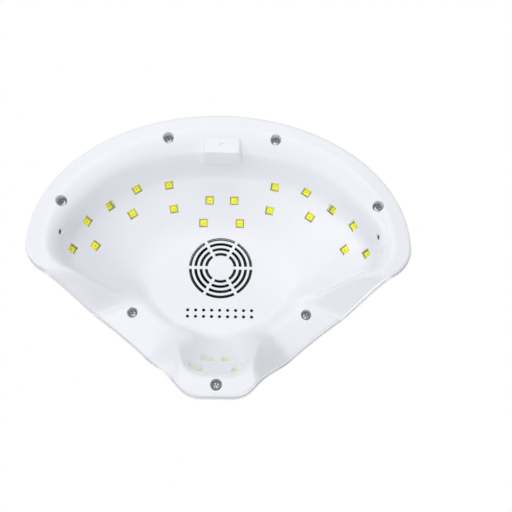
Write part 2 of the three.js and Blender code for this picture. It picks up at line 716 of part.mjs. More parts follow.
function ventHoles() {
  const holes = [];
  for (let i = 0; i < vents.columns; i++) {
    for (let j = 0; j < vents.rows; j++) {
      const x = (i - (vents.columns - 1) / 2) * vents.pitchX;
      const place = at(x, vents.y - j * vents.pitchY, 0);
      const top = chamberHeight + wall + overrun;
      holes.push(bar(chamberHeight - overrun, top, vents.radius, vents.sides, place));
    }
  }
  return holes;
}

// A hand sensor looks out of the chamber's side wall, square to it.
function sensorFrame(side) {
  const angle = side > 0 ? degToRad(sensor.angle) : Math.PI - degToRad(sensor.angle);
  const knot = knotAtHeight(chamberTable, angle, sensor.z, flatKnot, knotCount(chamberTable));
  const face = new THREE.Vector3(...sectionPoint(chamberTable, angle, knot));
  const out = new THREE.Vector3(...sectionPoint(chamberTable, angle, knot, wall)).sub(face).normalize();
  const across = new THREE.Vector3(0, 0, 1).cross(out).normalize();
  return new THREE.Matrix4().makeBasis(across, out.clone().cross(across), out).setPosition(face);
}
const sensorFrames = { right: sensorFrame(1), left: sensorFrame(-1) };
const sensorSeat = wall + sensor.flangeHeight + seam; // from the chamber's face to the end of its collar

// Socket housing: a drafted lump with rounded edges under the rim.
const blockFront = backY - jackBlockInset.front;
const blockBack = backY - jackBlockInset.back;
const jackFront = backY - jack.inset;
function jackHousing() {
  const { bottom, bevel, halfWidth: half, height, draft } = jackBlock;
  const [front, back] = [blockFront, blockBack];
  const level = (z, grow, reach) => {
    const wide = half + grow;
    return [
      [-wide, back + reach, z], [-wide, front + bevel - grow / 2, z], [bevel - wide, front - grow / 2, z],
      [wide - bevel, front - grow / 2, z], [wide, front + bevel - grow / 2, z], [wide, back + reach, z],
    ];
  };
  const rings = [
    level(bottom, -bevel, 0), level(bottom + bevel, 0, bevel), level(bottom + height, draft, draft + bevel),
  ];
  return loft(rings, [0, (front + back) / 2, bottom], [0, (front + back) / 2, bottom + height]);
}
const jackFloor = jack.z - jack.height / 2 - seam;
// How far back the cover's outer face is at a height, in the middle.
function coverBack(z) {
  const knot = knotAtHeight(coverTable, Math.PI / 2, z, 0, knotCount(coverTable) / 2);
  return sectionPoint(coverTable, Math.PI / 2, knot)[1];
}
const jackEnd = coverBack(jack.z);

function innerShell() {
  const stands = [
    ...wellWalls,
    ...caseScrews.map(({ x, y, top }) =>
      bar(0, top, screwTower.bore + screwTower.wall, screwTower.sides, at(x, y, 0)),
    ),
    ...fanHoles.map(([x, y]) => bar(chamberHeight, fanFoot, fan.boss, screwTower.sides, at(x, y, 0))),
    bar(chamberHeight, fanFoot, ductBore + ductWall, rotor.sides, at(0, fan.y, 0)),
    ...Object.values(sensorFrames).map((frame) =>
      bar(0, sensorSeat, sensorHole.flange + sensorHole.wall, sensorHole.sides, frame),
    ),
  ];
  const pocketHalf = jackBlock.halfWidth - wall;
  const pocket = box(
    [-pocketHalf, blockFront + wall, jackFloor],
    [pocketHalf, blockBack, jackBlock.bottom + jackBlock.height + overrun],
  );
  const ribs = [1, -1].map((side) => {
    const inside = side * (jack.halfWidth + seam);
    const outside = side * (jack.halfWidth + seam + jackRib.wall);
    return box(
      [Math.min(inside, outside), blockFront, jackBlock.bottom],
      [Math.max(inside, outside), blockBack, jackFloor + jackRib.height],
    );
  });
  const jackWay = box(
    [-jack.halfWidth - seam, jackFront - seam, jackFloor],
    [jack.halfWidth + seam, jackEnd, jackBlock.bottom + jackBlock.height + overrun],
  );
  const dimpleY = mix(blockFront, blockBack, dimple.share);
  const holes = [
    ...wellHoles,
    ...grilleSlots(),
    ...ventHoles(),
    ...caseScrews.flatMap(({ x, y, seat, top }) => [
      bar(-overrun, seat, screwTower.bore, screwTower.sides, at(x, y, 0)),
      bar(seat - overrun, top + overrun, coverBoss.pilot, coverBoss.sides, at(x, y, 0)),
    ]),
    bar(chamberHeight + wall, fanFoot + overrun, ductBore, rotor.sides, at(0, fan.y, 0)),
    ...fanHoles.map(([x, y]) =>
      bar(chamberHeight + wall / 2, fanFoot + overrun, coverBoss.pilot, coverBoss.sides, at(x, y, 0)),
    ),
    ...Object.values(sensorFrames).flatMap((frame) => [
      bar(-overrun, wall + overrun, sensorHole.lens, sensorHole.sides, frame),
      bar(wall, sensorSeat + overrun, sensorHole.flange, sensorHole.sides, frame),
    ]),
    bar(0, jackBlock.bottom + dimple.depth, dimple.radius, dimple.sides, at(0, dimpleY, 0)),
  ];
  return innerMoulding()
    .add(joined(stands).intersect(aboveInner()))
    .add(jackHousing())
    .subtract(pocket.subtract(joined(ribs)).add(jackWay))
    .subtract(joined(holes));
}
piece("inner_shell", innerShell(), "reflector_white");

// Cover, with its control panel

const panelFrame = times(at(0, panel.y, lampHeight), new THREE.Matrix4().makeRotationX(degToRad(panelTilt)));
const keyPlaces = Array.from({ length: keyRow.count }, (_, i) => (i - (keyRow.count - 1) / 2) * keyRow.pitch);
const fixings = [1, -1].flatMap((side) =>
  [boardFixing.front, boardFixing.back].map((y) => [side * boardFixing.x, y]),
);

function centredBox(width, depth, y, low, high, frame) {
  return box([-width / 2, y - depth / 2, low], [width / 2, y + depth / 2, high], frame);
}

function topCover() {
  const bosses = caseScrews.map(({ x, y, top }) =>
    bar(top + seam, lampHeight * 2, coverBoss.radius, coverBoss.sides, at(x, y, 0)),
  );
  const boardBosses = fixings.map(([x, y]) =>
    bar(mainBoard.top + seam, 0, boardFixing.boss, coverBoss.sides, times(panelFrame, at(x, y, 0))),
  );
  const recess = slab(
    roundedRect(lensPanel.width + 2 * seam, lensPanel.depth + 2 * seam, lensCorner + seam),
    -lensPanel.thickness - seam, overrun, times(panelFrame, at(0, lensPanel.y, 0)), cornerSteps,
  );
  const window = centredBox(
    lensPanel.width - 2 * lensLedge, lensPanel.depth - 2 * lensLedge, lensPanel.y,
    -wall - overrun, overrun, panelFrame,
  );
  const keyHoles = keyPlaces.map((x) =>
    bar(-wall - overrun, overrun, key.radius + seam, key.sides, times(panelFrame, at(x, keyRow.y, 0))),
  );
  const pilots = caseScrews.map(({ x, y, top }) =>
    bar(top, top + seam + screw.bite + coverBoss.spare, coverBoss.pilot, coverBoss.sides, at(x, y, 0)),
  );
  const boardPilots = fixings.map(([x, y]) =>
    bar(mainBoard.top, -wall, boardFixing.pilot, coverBoss.sides, times(panelFrame, at(x, y, 0))),
  );
  const socket = bar(-wall * 2, wall, jackHole, jackSides, times(at(0, jackEnd, jack.z), pointingBack));
  return coverMoulding()
    .add(joined([...bosses, ...boardBosses]).intersect(underCover()))
    .subtract(joined([recess, window, socket, ...keyHoles, ...pilots, ...boardPilots]));
}

piece("top_cover", topCover(), "gloss_white");

// LEDs and their boards

function bead() {
  const { size, base, domeRadius, domeHeight, domeSides } = led;
  const dome = [
    [0, base / 2], [domeRadius, base / 2], [domeRadius, base],
    [domeRadius * ledCrownShare.radius, base + domeHeight * ledCrownShare.height], [0, base + domeHeight],
  ];
  return box([-size / 2, -size / 2, 0], [size / 2, size / 2, base]).add(lathe(dome, domeSides));
}

lightBoards.forEach(({ name, frame, local, outlineShape, turns }) => {
  piece(`led_board_${name}`, slab(outlineShape, 0, boards.thickness), "board_white", lamp, frame);
  local.forEach((p, i) => {
    const place = times(frame, at(p.x, p.y, -seam), turned(turns[i]), upsideDown);
    piece(`led_${name}_${i + 1}`, bead(), "led_yellow", lamp, place);
  });
});

// Fan, drawn with its foot at zero

const fanPlace = at(0, fan.y, fanFoot + seam);
const hub = hubShare * fanBore;
const cup = hub - rotor.cupWall;
const motorPlate = hub - motor.margin;

function fanFrame() {
  const plateLow = fan.depth - motor.plateHeight;
  const arms = Array.from({ length: motor.arms }, (_, i) =>
    box(
      [motorPlate - overrun, -motor.arm / 2, plateLow],
      [(fanBore + fan.size / 2) / 2, motor.arm / 2, fan.depth],
      turned((360 / motor.arms) * (i + 1 / 4)),
    ),
  );
  const holes = fanHoles.map(([x, y]) =>
    bar(-overrun, fan.depth + overrun, fan.hole, screw.sides, at(x, y - fan.y, 0)),
  );
  return slab(roundedRect(fan.size, fan.size, fan.corner), 0, fan.depth, undefined, 1)
    .subtract(joined([bar(-overrun, fan.depth + overrun, fanBore, motor.boreSides), ...holes]))
    .add(joined([bar(plateLow, fan.depth, motorPlate, rotor.sides), ...arms]))
    .add(bar(rotor.low + rotor.plate + 2 * seam, fan.depth, motor.sleeve, rotor.sides))
    .subtract(bar(0, plateLow, motor.bearing, rotor.sides));
}

// A blade as a box that widens outwards and flattens towards its tip.
function blade(turn) {
  const middle = (rotor.low + rotor.high) / 2;
  const radii = bladeShares.radii.map((share) => share * fanBore);
  const sections = radii.map((radius, i) => {
    const chord = [bladeShares.spreads[i] * fanBore, bladeShares.rises[i] * (rotor.high - rotor.low)];
    const half = bladeThickness / 2 / Math.hypot(...chord);
    return [[-1, -1], [1, -1], [1, 1], [-1, 1]].map(([along, over]) => [
      radius,
      along * chord[0] - over * half * chord[1],
      middle + along * chord[1] + over * half * chord[0],
    ]);
  });
  const centre = (i) => [radii[i], 0, middle];
  return loft(sections, centre(0), centre(sections.length - 1)).transform(turned(turn).toArray());
}

function fanRotor() {
  const { plate, low, high, shaft, blades, sides } = rotor;
  const shaftEnd = fan.depth - motor.plateHeight - seam;
  const profile = [
    [0, low], [hub, low], [hub, high], [cup, high], [cup, low + plate], [shaft, low + plate],
    [shaft, shaftEnd], [0, shaftEnd],
  ];
  const all = Array.from({ length: blades }, (_, i) => blade((360 / blades) * i));
  return lathe(profile, sides).add(joined(all));
}

function fanStator() {
  const { inner, gap, low, high, pole, poles, yoke } = stator;
  const reach = Math.sqrt((cup - gap) ** 2 - pole ** 2);
  const teeth = Array.from({ length: poles }, (_, i) =>
    box([0, -pole / 2, low], [reach - overrun, pole / 2, high], turned((360 / poles) * i)).add(
      box([reach - overrun * 2, -pole, low], [reach, pole, high], turned((360 / poles) * i)),
    ),
  );
  return bar(low, high, yoke, rotor.sides)
    .add(joined(teeth))
    .subtract(bar(low - overrun, high + overrun, inner, rotor.sides));
}

piece("fan_frame", fanFrame(), "fan_black", lamp, fanPlace);
piece("fan_rotor", fanRotor(), "fan_black", lamp, fanPlace);
piece("fan_stator", fanStator(), "copper", lamp, fanPlace);

// Screws: underside of the head at zero, shank upwards

function screwSolid(head, headHeight, shank, length) {
  const profile = [
    [0, -headHeight], [head * screw.crownShare, -headHeight], [head, -headHeight * screw.crownShare],
    [head, 0], [shank, 0], [shank, length - shank], [0, length],
  ];
  return lathe(profile, screw.sides);
}

caseScrews.forEach(({ name, x, y, seat }) => {
  const length = screwTower.floor + 2 * seam + screw.bite;
  const made = screwSolid(screw.head, screw.headHeight, screw.shank, length);
  piece(`case_screw_${name}`, made, "steel", lamp, at(x, y, seat - seam));
});

const fanTop = fanFoot + fan.depth + 2 * seam;
[["right_rear", fanHoles[0]], ["left_front", fanHoles[2]]].forEach(([name, [x, y]]) => {
  const length = fanTop - chamberHeight - wall / 2 - seam;
  const made = screwSolid(screw.head, screw.headHeight, screw.shank, length);
  piece(`fan_screw_${name}`, made, "steel", lamp, times(at(x, y, fanTop), upsideDown));
});

// Socket and sensors

function dcJack() {
  const { halfWidth: half, height, z, barrel, bore, pin, depth } = jack;
  const bodyEnd = coverBack(z + height / 2) - wall - 2 * seam;
  const frame = (y) => times(at(0, y, z), pointingBack);
  return box([-half, jackFront, z - height / 2], [half, bodyEnd, z + height / 2])
    .add(bar(-overrun, jackEnd - seam - bodyEnd, barrel, jackSides, frame(bodyEnd)))
    .subtract(bar(-depth, overrun, bore, jackSides, frame(jackEnd)))
    .add(bar(-depth - overrun, -overrun - seam, pin, screw.sides, frame(jackEnd)));
}
piece("dc_jack", dcJack(), "black_plastic");

Object.entries(sensorFrames).forEach(([name, frame]) => {
  const seat = wall + seam;
  const made = bar(seam, seat + sensor.flangeHeight / 2, sensor.lens, sensor.sides).add(
    bar(seat, seat + sensor.flangeHeight, sensor.flange, sensor.sides),
  );
  piece(`hand_sensor_${name}`, made, "black_plastic", lamp, frame);
});

// Control panel, drawn level with the cover's outer face at zero

const controls = new THREE.Group();
controls.position.set(0, panel.y, lampHeight);
controls.rotation.x = degToRad(panelTilt);
lamp.add(controls);

const displayLens = slab(
  roundedRect(lensPanel.width, lensPanel.depth, lensCorner), -lensPanel.thickness, 0, undefined, cornerSteps,
);
piece("display_lens", displayLens, "smoked_lens", controls, at(0, lensPanel.y, 0));
piece(
  "display_module",
  centredBox(display.width, display.depth, lensPanel.y, mainBoard.top + seam, -wall - seam),
  "black_plastic",
  controls,
);

const switchTop = mainBoard.top + keySwitch.height;

function keySolid() {
  const { radius, rise, flange: foot, flangeHeight, stem, sides } = key;
  const footTop = -wall - seam;
  const footLow = footTop - flangeHeight;
  const stemLow = switchTop - keySwitch.stemIn;
  return lathe(
    [
      [0, stemLow], [stem, stemLow], [stem, footLow], [foot, footLow], [foot, footTop], [radius, footTop],
      [radius, rise / 2], [radius - rise / 2, rise], [0, rise],
    ],
    sides,
  );
}

function mainBoardSolid() {
  const { halfWidth: half, front, back, top, thickness } = mainBoard;
  const plate = box([-half, front, top - thickness], [half, back, top]);
  const holes = fixings.map(([x, y]) =>
    bar(top - thickness - overrun, top + overrun, boardScrew.hole, screw.sides, at(x, y, 0)),
  );
  const switches = keyPlaces.map((x) =>
    centredBox(keySwitch.size, keySwitch.size, 0, top - thickness / 2, switchTop, at(x, keyRow.y, 0)),
  );
  const wellFloor = switchTop - keySwitch.wellDepth;
  const wells = keyPlaces.map((x) =>
    bar(wellFloor, switchTop + overrun, keySwitch.well, keySwitch.sides, at(x, keyRow.y, 0)),
  );
  return plate.add(joined(switches)).subtract(joined([...holes, ...wells]));
}

keyPlaces.forEach((x, i) =>
  piece(`timer_button_${i + 1}`, keySolid(), "key_grey", controls, at(x, keyRow.y, 0)),
);
piece("main_board", mainBoardSolid(), "board_green", controls);
fixings.forEach(([x, y], i) => {
  const low = mainBoard.top - mainBoard.thickness - seam;
  const length = -wall - seam * 2 - low;
  const made = screwSolid(boardScrew.head, boardScrew.headHeight, boardScrew.shank, length);
  piece(`board_screw_${i + 1}`, made, "steel", controls, at(x, y, low));
});
const sounder = bar(0, buzzer.height, buzzer.radius, buzzer.sides).subtract(
  bar(buzzer.height / 2, buzzer.height + overrun, buzzer.port, keySwitch.sides),
);
const sounderPlace = at(buzzer.inset - mainBoard.halfWidth, buzzer.y, mainBoard.top + seam);
piece("buzzer", sounder, "black_plastic", controls, sounderPlace);

export default lamp;
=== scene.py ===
# %% [markdown]
# # A two-hand LED nail lamp, seen from below
#
# The lamp is a fan-shaped clam of two white mouldings. It stands on a wide rim at the back and
# on a narrow pillar at the front, and each hand goes in under the arch beside the pillar. The
# photograph looks up into the chamber, at the lights, the fan's grille and the screws.
#
# The measured model comes first, as a fixed frame. It is right in size but faceted, so each of
# its visible pieces is either given a better finish or replaced by a finer mesh of the same form.

# %% Load the measured model
import math

import bmesh
import bpy
import numpy as np
from mathutils import Matrix, Vector
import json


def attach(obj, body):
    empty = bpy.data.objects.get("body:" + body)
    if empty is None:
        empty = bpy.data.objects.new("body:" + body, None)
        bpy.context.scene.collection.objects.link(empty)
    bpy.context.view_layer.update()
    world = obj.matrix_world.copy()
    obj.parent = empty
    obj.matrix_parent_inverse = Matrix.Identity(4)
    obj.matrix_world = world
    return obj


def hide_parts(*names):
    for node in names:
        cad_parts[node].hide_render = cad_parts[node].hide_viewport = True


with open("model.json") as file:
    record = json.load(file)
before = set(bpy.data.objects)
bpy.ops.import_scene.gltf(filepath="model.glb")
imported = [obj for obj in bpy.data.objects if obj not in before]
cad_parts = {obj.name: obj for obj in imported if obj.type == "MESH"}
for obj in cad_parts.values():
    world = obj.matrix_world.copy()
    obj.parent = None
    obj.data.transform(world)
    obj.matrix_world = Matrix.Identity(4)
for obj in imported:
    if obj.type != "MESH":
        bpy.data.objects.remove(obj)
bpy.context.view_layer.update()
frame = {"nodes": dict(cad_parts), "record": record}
MM = 0.001
bodies = frame["record"]["behaviour"]["bodies"]
print("bodies:", {name: len(nodes) for name, nodes in bodies.items()})


def linked(name, data):
    """A new object in the scene."""
    made = bpy.data.objects.new(name, data)
    bpy.context.collection.objects.link(made)
    return made


# %% [markdown]
# ## Camera
#
# The camera was worked out from the photograph, not set by eye. The lamp's screws and lights have
# known places on the model, and their pixels were read off the picture. A least-squares fit then
# found the one camera that puts every one of them within about half a pixel. It stands below the
# tabletop, in front of the lamp, and the picture is the right way up for a lamp turned over.

# %% Place the camera
PICTURE, FOCAL_LENGTH = 512, 740  # in pixels
SENSOR = 36.0
CAMERA_EYE = (-0.0111028, -0.1634022, -0.4456171)
CAMERA_RIGHT = Vector((-0.9995221, 0.0069230, -0.0301279)).normalized()
CAMERA_UP = Vector((0.0165538, 0.9429545, -0.3325100)).normalized()

camera_data = bpy.data.cameras.new("camera")
camera_data.sensor_width = SENSOR
camera_data.lens = FOCAL_LENGTH / PICTURE * SENSOR
camera_data.clip_start = 0.01
camera = linked("camera", camera_data)
bpy.context.scene.camera = camera
camera_turn = Matrix((CAMERA_RIGHT, CAMERA_UP, CAMERA_RIGHT.cross(CAMERA_UP))).transposed()
camera.matrix_world = Matrix.Translation(CAMERA_EYE) @ camera_turn.to_4x4()
print("camera looks along", tuple(round(v, 3) for v in -camera.matrix_world.col[2].xyz))

# %% [markdown]
# ## Shaders as expressions
#
# A shader is a small network of sums. Wiring every node by hand hides the idea, so one small
# class wraps a socket and lets Python's own operators add the Math nodes. Any other node comes
# from `node`, which sets its options first and then fills or links its sockets.

# %% A socket that can be reckoned with


class Wire:
    """An output of a node."""

    def __init__(self, tree, socket):
        self.tree, self.socket = tree, socket

    def math(self, operation, *values):
        return node(self.tree, "ShaderNodeMath", {"operation": operation}, *values)


def both_ways(operation):
    """A sum with the wire on its left, and with the wire on its right."""
    return {"__": lambda wire, other: wire.math(operation, wire, other),
            "__r": lambda wire, other: wire.math(operation, other, wire)}


for symbol, operation in {"add": "ADD", "sub": "SUBTRACT", "mul": "MULTIPLY",
                          "truediv": "DIVIDE"}.items():
    for start, method in both_ways(operation).items():
        setattr(Wire, f"{start}{symbol}__", method)


def node(tree, kind, settings=None, *values, output=0, **sockets):
    """Add a node: its settings first, then its sockets in order or by name."""
    made = tree.nodes.new(kind)
    for name, value in (settings or {}).items():
        setattr(made, name, value)
    chosen = [(made.inputs[i], v) for i, v in enumerate(values)]
    chosen += [(input_of(made, name), v) for name, v in sockets.items()]
    for socket, value in chosen:
        if isinstance(value, Wire):
            tree.links.new(value.socket, socket)
        else:
            socket.default_value = value
    return Wire(tree, made.outputs[output]) if made.outputs else None


def input_of(made, name):
    """A node's input by name, with _ for a space, or by number, as _6."""
    number = name[1:]
    return made.inputs[int(number) if number.isdigit() else name.replace("_", " ")]

# %% A material in the making


def empty_tree(owner):
    """The emptied node tree of a world or a material."""
    owner.use_nodes = True
    owner.node_tree.nodes.clear()
    return owner.node_tree


def rgb(*values):
    return (*values, 1.0)


class Finish:
    """A material that is being made, with its places in the object's own coordinates."""

    def __init__(self, name):
        self.material = bpy.data.materials.new(name)
        self.tree = empty_tree(self.material)
        self.place = self.node("ShaderNodeTexCoord", output="Object")

    def node(self, kind, settings=None, *values, **sockets):
        return node(self.tree, kind, settings, *values, **sockets)

    def noise(self, size_mm, detail=2.0, stretch=None):
        """Noise from 0 to 1 whose blobs are about this many millimetres across."""
        place = self.place
        if stretch:
            place = self.node("ShaderNodeMapping", None, place, Scale=stretch)
        return self.node("ShaderNodeTexNoise", {"noise_dimensions": "3D"}, Vector=place,
                         Scale=1 / (size_mm * MM), Detail=detail)

    def blend(self, share, low, high):
        """A colour between two, by a wire."""
        return self.node("ShaderNodeMix", {"data_type": "RGBA"}, share, _6=low, _7=high, output=2)

    def bump(self, height, depth_mm, strength=1.0):
        return self.node("ShaderNodeBump", None, Strength=strength, Distance=depth_mm * MM,
                         Height=height)

    def surface(self, **sockets):
        """Finish with a principled surface."""
        skin = self.node("ShaderNodeBsdfPrincipled", None, **sockets)
        self.node("ShaderNodeOutputMaterial", None, Surface=skin)
        return self.material

# %% [markdown]
# ## Light, floor and background
#
# The photograph has a pure white background and soft light from the left and from the front. The
# places and strengths of the soft boxes were fitted to its shades. The camera is under the
# tabletop and looks up, so the floor must not stand in its way: it shows only to rays that meet
# it from above, where it catches the lamp's shadow, and lets all others through. The white of the
# background is for the camera and for reflections alone, so that it adds no light and the white
# plastic keeps its shading.

# %% World and floor
ROOM_TINT, ROOM_STRENGTH = rgb(0.93, 0.95, 1.0), 0.52
FLOOR_TINT, FLOOR_REACH, FLOOR_DROP = rgb(0.82, 0.82, 0.83), 6.0, 0.0004


def is_ray(tree, kind):
    """1 for a kind of ray, such as Camera or Glossy, and 0 for any other."""
    return node(tree, "ShaderNodeLightPath", output=f"Is {kind} Ray")


scene = bpy.context.scene
scene.view_settings.view_transform = "Standard"
scene.world = bpy.data.worlds.new("studio")
tree = empty_tree(scene.world)
seen = is_ray(tree, "Camera")
for kind in ("Transmission", "Glossy"):
    seen = seen.math("MAXIMUM", seen, is_ray(tree, kind))
room = node(tree, "ShaderNodeBackground", None, ROOM_TINT, ROOM_STRENGTH)
backdrop = node(tree, "ShaderNodeBackground", None, rgb(1, 1, 1))
either = node(tree, "ShaderNodeMixShader", None, seen, room, backdrop)
node(tree, "ShaderNodeOutputWorld", None, either)

floor_mesh = bpy.data.meshes.new("floor")
floor_mesh.from_pydata([(x * FLOOR_REACH, y * FLOOR_REACH, 0)
                        for x, y in ((-1, -1), (1, -1), (1, 1), (-1, 1))], [], [(0, 1, 2, 3)])
floor = linked("floor", floor_mesh)
floor.location.z = -FLOOR_DROP
floor_finish = bpy.data.materials.new("pale floor")
floor_mesh.materials.append(floor_finish)
tree = empty_tree(floor_finish)
from_below = node(tree, "ShaderNodeNewGeometry", output="Backfacing")
from_above = node(tree, "ShaderNodeMath", {"operation": "SUBTRACT", "use_clamp": True},
                  is_ray(tree, "Camera"), from_below)
matt = node(tree, "ShaderNodeBsdfDiffuse", None, FLOOR_TINT)
clear = node(tree, "ShaderNodeBsdfTransparent")
either = node(tree, "ShaderNodeMixShader", None, from_above, clear, matt)
node(tree, "ShaderNodeOutputMaterial", None, either)

# %% Soft boxes
CHAMBER = Vector((0, 0, 0.03))
SOFT_BOXES = {  # place and size in metres, strength in watts
    "key from the left": ((0.77, 0, -0.61), 0.5, 2.0),
    "low front": ((0, -0.97, -0.23), 0.5, 2.0),
    "behind and below": ((0, 0.42, -0.88), 0.5, 1.8),
    "straight below": ((0, 0, -1.0), 0.5, 1.3),
    "top key": ((-0.6, -0.7, 0.95), 0.7, 5),
    "top fill": ((0.9, 0.5, 0.8), 0.9, 1.6),
}
for name, (place, size, watts) in SOFT_BOXES.items():
    data = bpy.data.lights.new(name, "AREA")
    data.size, data.energy = size, watts
    light = linked(name, data)
    light.location = place
    light.rotation_euler = (CHAMBER - Vector(place)).to_track_quat("-Z", "Y").to_euler()
print("soft boxes:", len(SOFT_BOXES))

# %% [markdown]
# ## The plan outline
#
# Seen from above, the lamp is a half ellipse at the back, a rounded corner beside each hand
# opening, a gently bent diagonal along the opening and a short front on the pillar. It could be
# traced from the picture, but a few arcs and curves with named sizes stay smooth and even.

# %% Draw the outline
HALF_WIDTH, BACK_REACH, WIDEST_Y, FRONT_REACH = 125.0, 94.0, 3.0, 96.5
CORNER_RADIUS, CORNER_TURN = 22.0, math.radians(62)
PILLAR_WIDTH, PILLAR_DEPTH = 24.3, 7.4
PILLAR_FLAT, PILLAR_BEND = 0.41, (0.77, 0.05)  # shares of the pillar's width and depth
LEAVE, ARRIVE, ARCH_EASE = 0.29, 0.23, 0.32  # shares of the hand opening
PLAN_CENTRE_Y = -5.0  # the rays that the mouldings are drawn along start here
OUTLINE_STEPS = 100
FULL = 2 * math.pi


def bezier(points, count):
    """A Bezier curve of any degree, as many points."""
    t = np.linspace(0, 1, count)[:, None]
    levels = [np.asarray(p, float) * np.ones_like(t) for p in points]
    while len(levels) > 1:
        levels = [a + (b - a) * t for a, b in zip(levels, levels[1:])]
    return levels[0]


def even(points, count):
    """Points the same way apart along a line, the last one left out."""
    lengths = np.concatenate(([0], np.cumsum(np.linalg.norm(np.diff(points, axis=0), axis=1))))
    places = np.linspace(0, lengths[-1], count + 1)[:-1]
    return np.stack([np.interp(places, lengths, points[:, k]) for k in (0, 1)], 1)


def arc(cx, cy, rx, ry, start, end):
    turn = np.linspace(start, end, 400)
    return np.stack([cx + rx * np.cos(turn), cy + ry * np.sin(turn)], 1)


def ramp(value, low, high):
    """From 0 at low to 1 at high, with soft ends."""
    t = np.clip((np.asarray(value, float) - low) / (high - low), 0, 1)
    return t * t * (3 - 2 * t)


def half_outline():
    """The right half, from the front to the back, and how much of the arch each point has."""
    corner_x = HALF_WIDTH - CORNER_RADIUS
    rear = np.array([corner_x + CORNER_RADIUS * math.cos(CORNER_TURN),
                     WIDEST_Y - CORNER_RADIUS * math.sin(CORNER_TURN)])
    bend = np.array([PILLAR_BEND[0] * PILLAR_WIDTH, PILLAR_BEND[1] * PILLAR_DEPTH - FRONT_REACH])
    side = np.array([PILLAR_WIDTH, PILLAR_DEPTH - FRONT_REACH])
    flat_end = (PILLAR_FLAT * PILLAR_WIDTH, -FRONT_REACH)
    pillar = np.concatenate(([(0, -FRONT_REACH)], bezier([flat_end, bend, side], 200)))
    chord = np.linalg.norm(side - rear)
    leave = side + (side - bend) / np.linalg.norm(side - bend) * LEAVE * chord
    arrive = rear + np.array([-math.sin(CORNER_TURN), -math.cos(CORNER_TURN)]) * ARRIVE * chord
    opening = bezier([side, leave, arrive, rear], 400)
    corner = arc(corner_x, WIDEST_Y, CORNER_RADIUS, CORNER_RADIUS, -CORNER_TURN, 0)
    back = arc(0, WIDEST_Y, HALF_WIDTH, BACK_REACH, 0, math.pi / 2)
    along = np.arange(OUTLINE_STEPS) / OUTLINE_STEPS
    in_opening = ramp(along, 0, ARCH_EASE) * ramp(1 - along, 0, ARCH_EASE)
    none = np.zeros(OUTLINE_STEPS)
    points = [even(curve, OUTLINE_STEPS) for curve in (pillar, opening, corner, back)]
    points.append([(0, WIDEST_Y + BACK_REACH)])
    return np.concatenate(points), np.concatenate([none, in_opening, none, none, [0]])


half, half_arch = half_outline()
outline = np.concatenate((half, half[-2:0:-1] * (-1, 1)))
outline_arch = np.concatenate((half_arch, half_arch[-2:0:-1]))
print("outline:", len(outline), "points")

# %% Read the outline by angle


def by_angle(points, values):
    """Values at points round the plan, as a function of the angle from its centre."""
    angles = np.arctan2(points[:, 1] - PLAN_CENTRE_Y, points[:, 0])
    order = np.argsort(angles)
    return lambda angle: np.interp(np.mod(angle + math.pi, FULL) - math.pi, angles[order],
                                   values[order], period=FULL)


def radius_of(points):
    return np.hypot(points[:, 0], points[:, 1] - PLAN_CENTRE_Y)


outline_radius = by_angle(outline, radius_of(outline))
arch_at = by_angle(outline, outline_arch)
LINE_START, LINE_END = outline, np.roll(outline, -1, axis=0)
LINE = LINE_END - LINE_START
LINE_SQUARED = (LINE ** 2).sum(1)


def to_outline(points):
    """Shortest way from each plan point to the outline."""
    offset = points[:, None, :] - LINE_START[None]
    share = np.clip((offset * LINE).sum(2) / LINE_SQUARED, 0, 1)
    return np.sqrt(((offset - share[..., None] * LINE) ** 2).sum(2).min(1))


def inset_radius(angles, inset):
    """Radius of the curve that lies a given way inside the outline."""
    far = outline_radius(angles)
    if np.all(np.asarray(inset) <= 0):
        return far - inset
    ways = np.stack([np.cos(angles), np.sin(angles)], 1)
    depth = np.zeros_like(far) + inset
    for _ in range(7):
        found = to_outline(ways * (far - depth)[:, None] + (0, PLAN_CENTRE_Y))
        depth = depth * inset / np.maximum(found, 1e-6)
    return far - depth


def ellipse_radius(half_x, half_y, y):
    ring = arc(0, y, half_x, half_y, 0, FULL)[:-1]
    return by_angle(ring, radius_of(ring))

# %% [markdown]
# ## The sections
#
# Along each ray from the middle, a moulding has a section: up the edge, along the lip and over
# the dome. The rim, the pillar and the arch have one table each, and a point of the outline
# takes a mixture of them. A cubic spline through the mixed controls gives the face itself, so
# the rim melts into the arch without a seam, as it does on a moulded part.

# %% Tables of the sections
CHAMBER_HEIGHT, ARCH_EDGE, LAMP_HEIGHT, PANEL_TILT = 48.0, 47.0, 84.0, math.radians(8)
WALL, FLANGE, COVER_LAP, SEAM, RIM_WIDTH = 2.2, 5.0, 1.2, 0.35, 41.0
PANEL_Y = -5.0
# Shares of the rim's width inwards and of the chamber's height upwards, from the edge inwards.
RIM = [(0.09, 0), (0.155, 0), (0.23, 0), (0.295, 0), (0.41, 0.04),
       (0.57, 0.1), (0.615, 0.22), (0.63, 0.4), (0.66, 0.555), (0.76, 0.66)]
CORNER = [(0.09, 0), (0.155, 0), (0.22, 0), (0.29, 0), (0.36, 0.015),
          (0.44, 0.06), (0.5, 0.18), (0.54, 0.36), (0.6, 0.56), (0.84, 0.66)]
PILLAR = [(0.09, 0), (0.14, 0), (0.19, 0), (0.245, 0), (0.33, 0.01),
          (0.37, 0.05), (0.44, 0.16), (0.6, 0.37), (0.78, 0.57), (0.98, 0.78)]
ARCH = [(0.073, 0.975), (0.15, 0.966), (0.225, 0.955), (0.3, 0.945), (0.375, 0.937),
        (0.45, 0.93), (0.52, 0.926), (0.59, 0.927), (0.66, 0.94), (0.73, 0.965)]
LEAN = [0, 0, 0, 0, 0, 0, 0.04, 0.1, 0.13, 0.11]  # what the back's wall leans in, too
DOME = [(0.38, 0.53), (0.76, 0.93), (1, 1)]  # shares of the way to the flat ceiling, and up
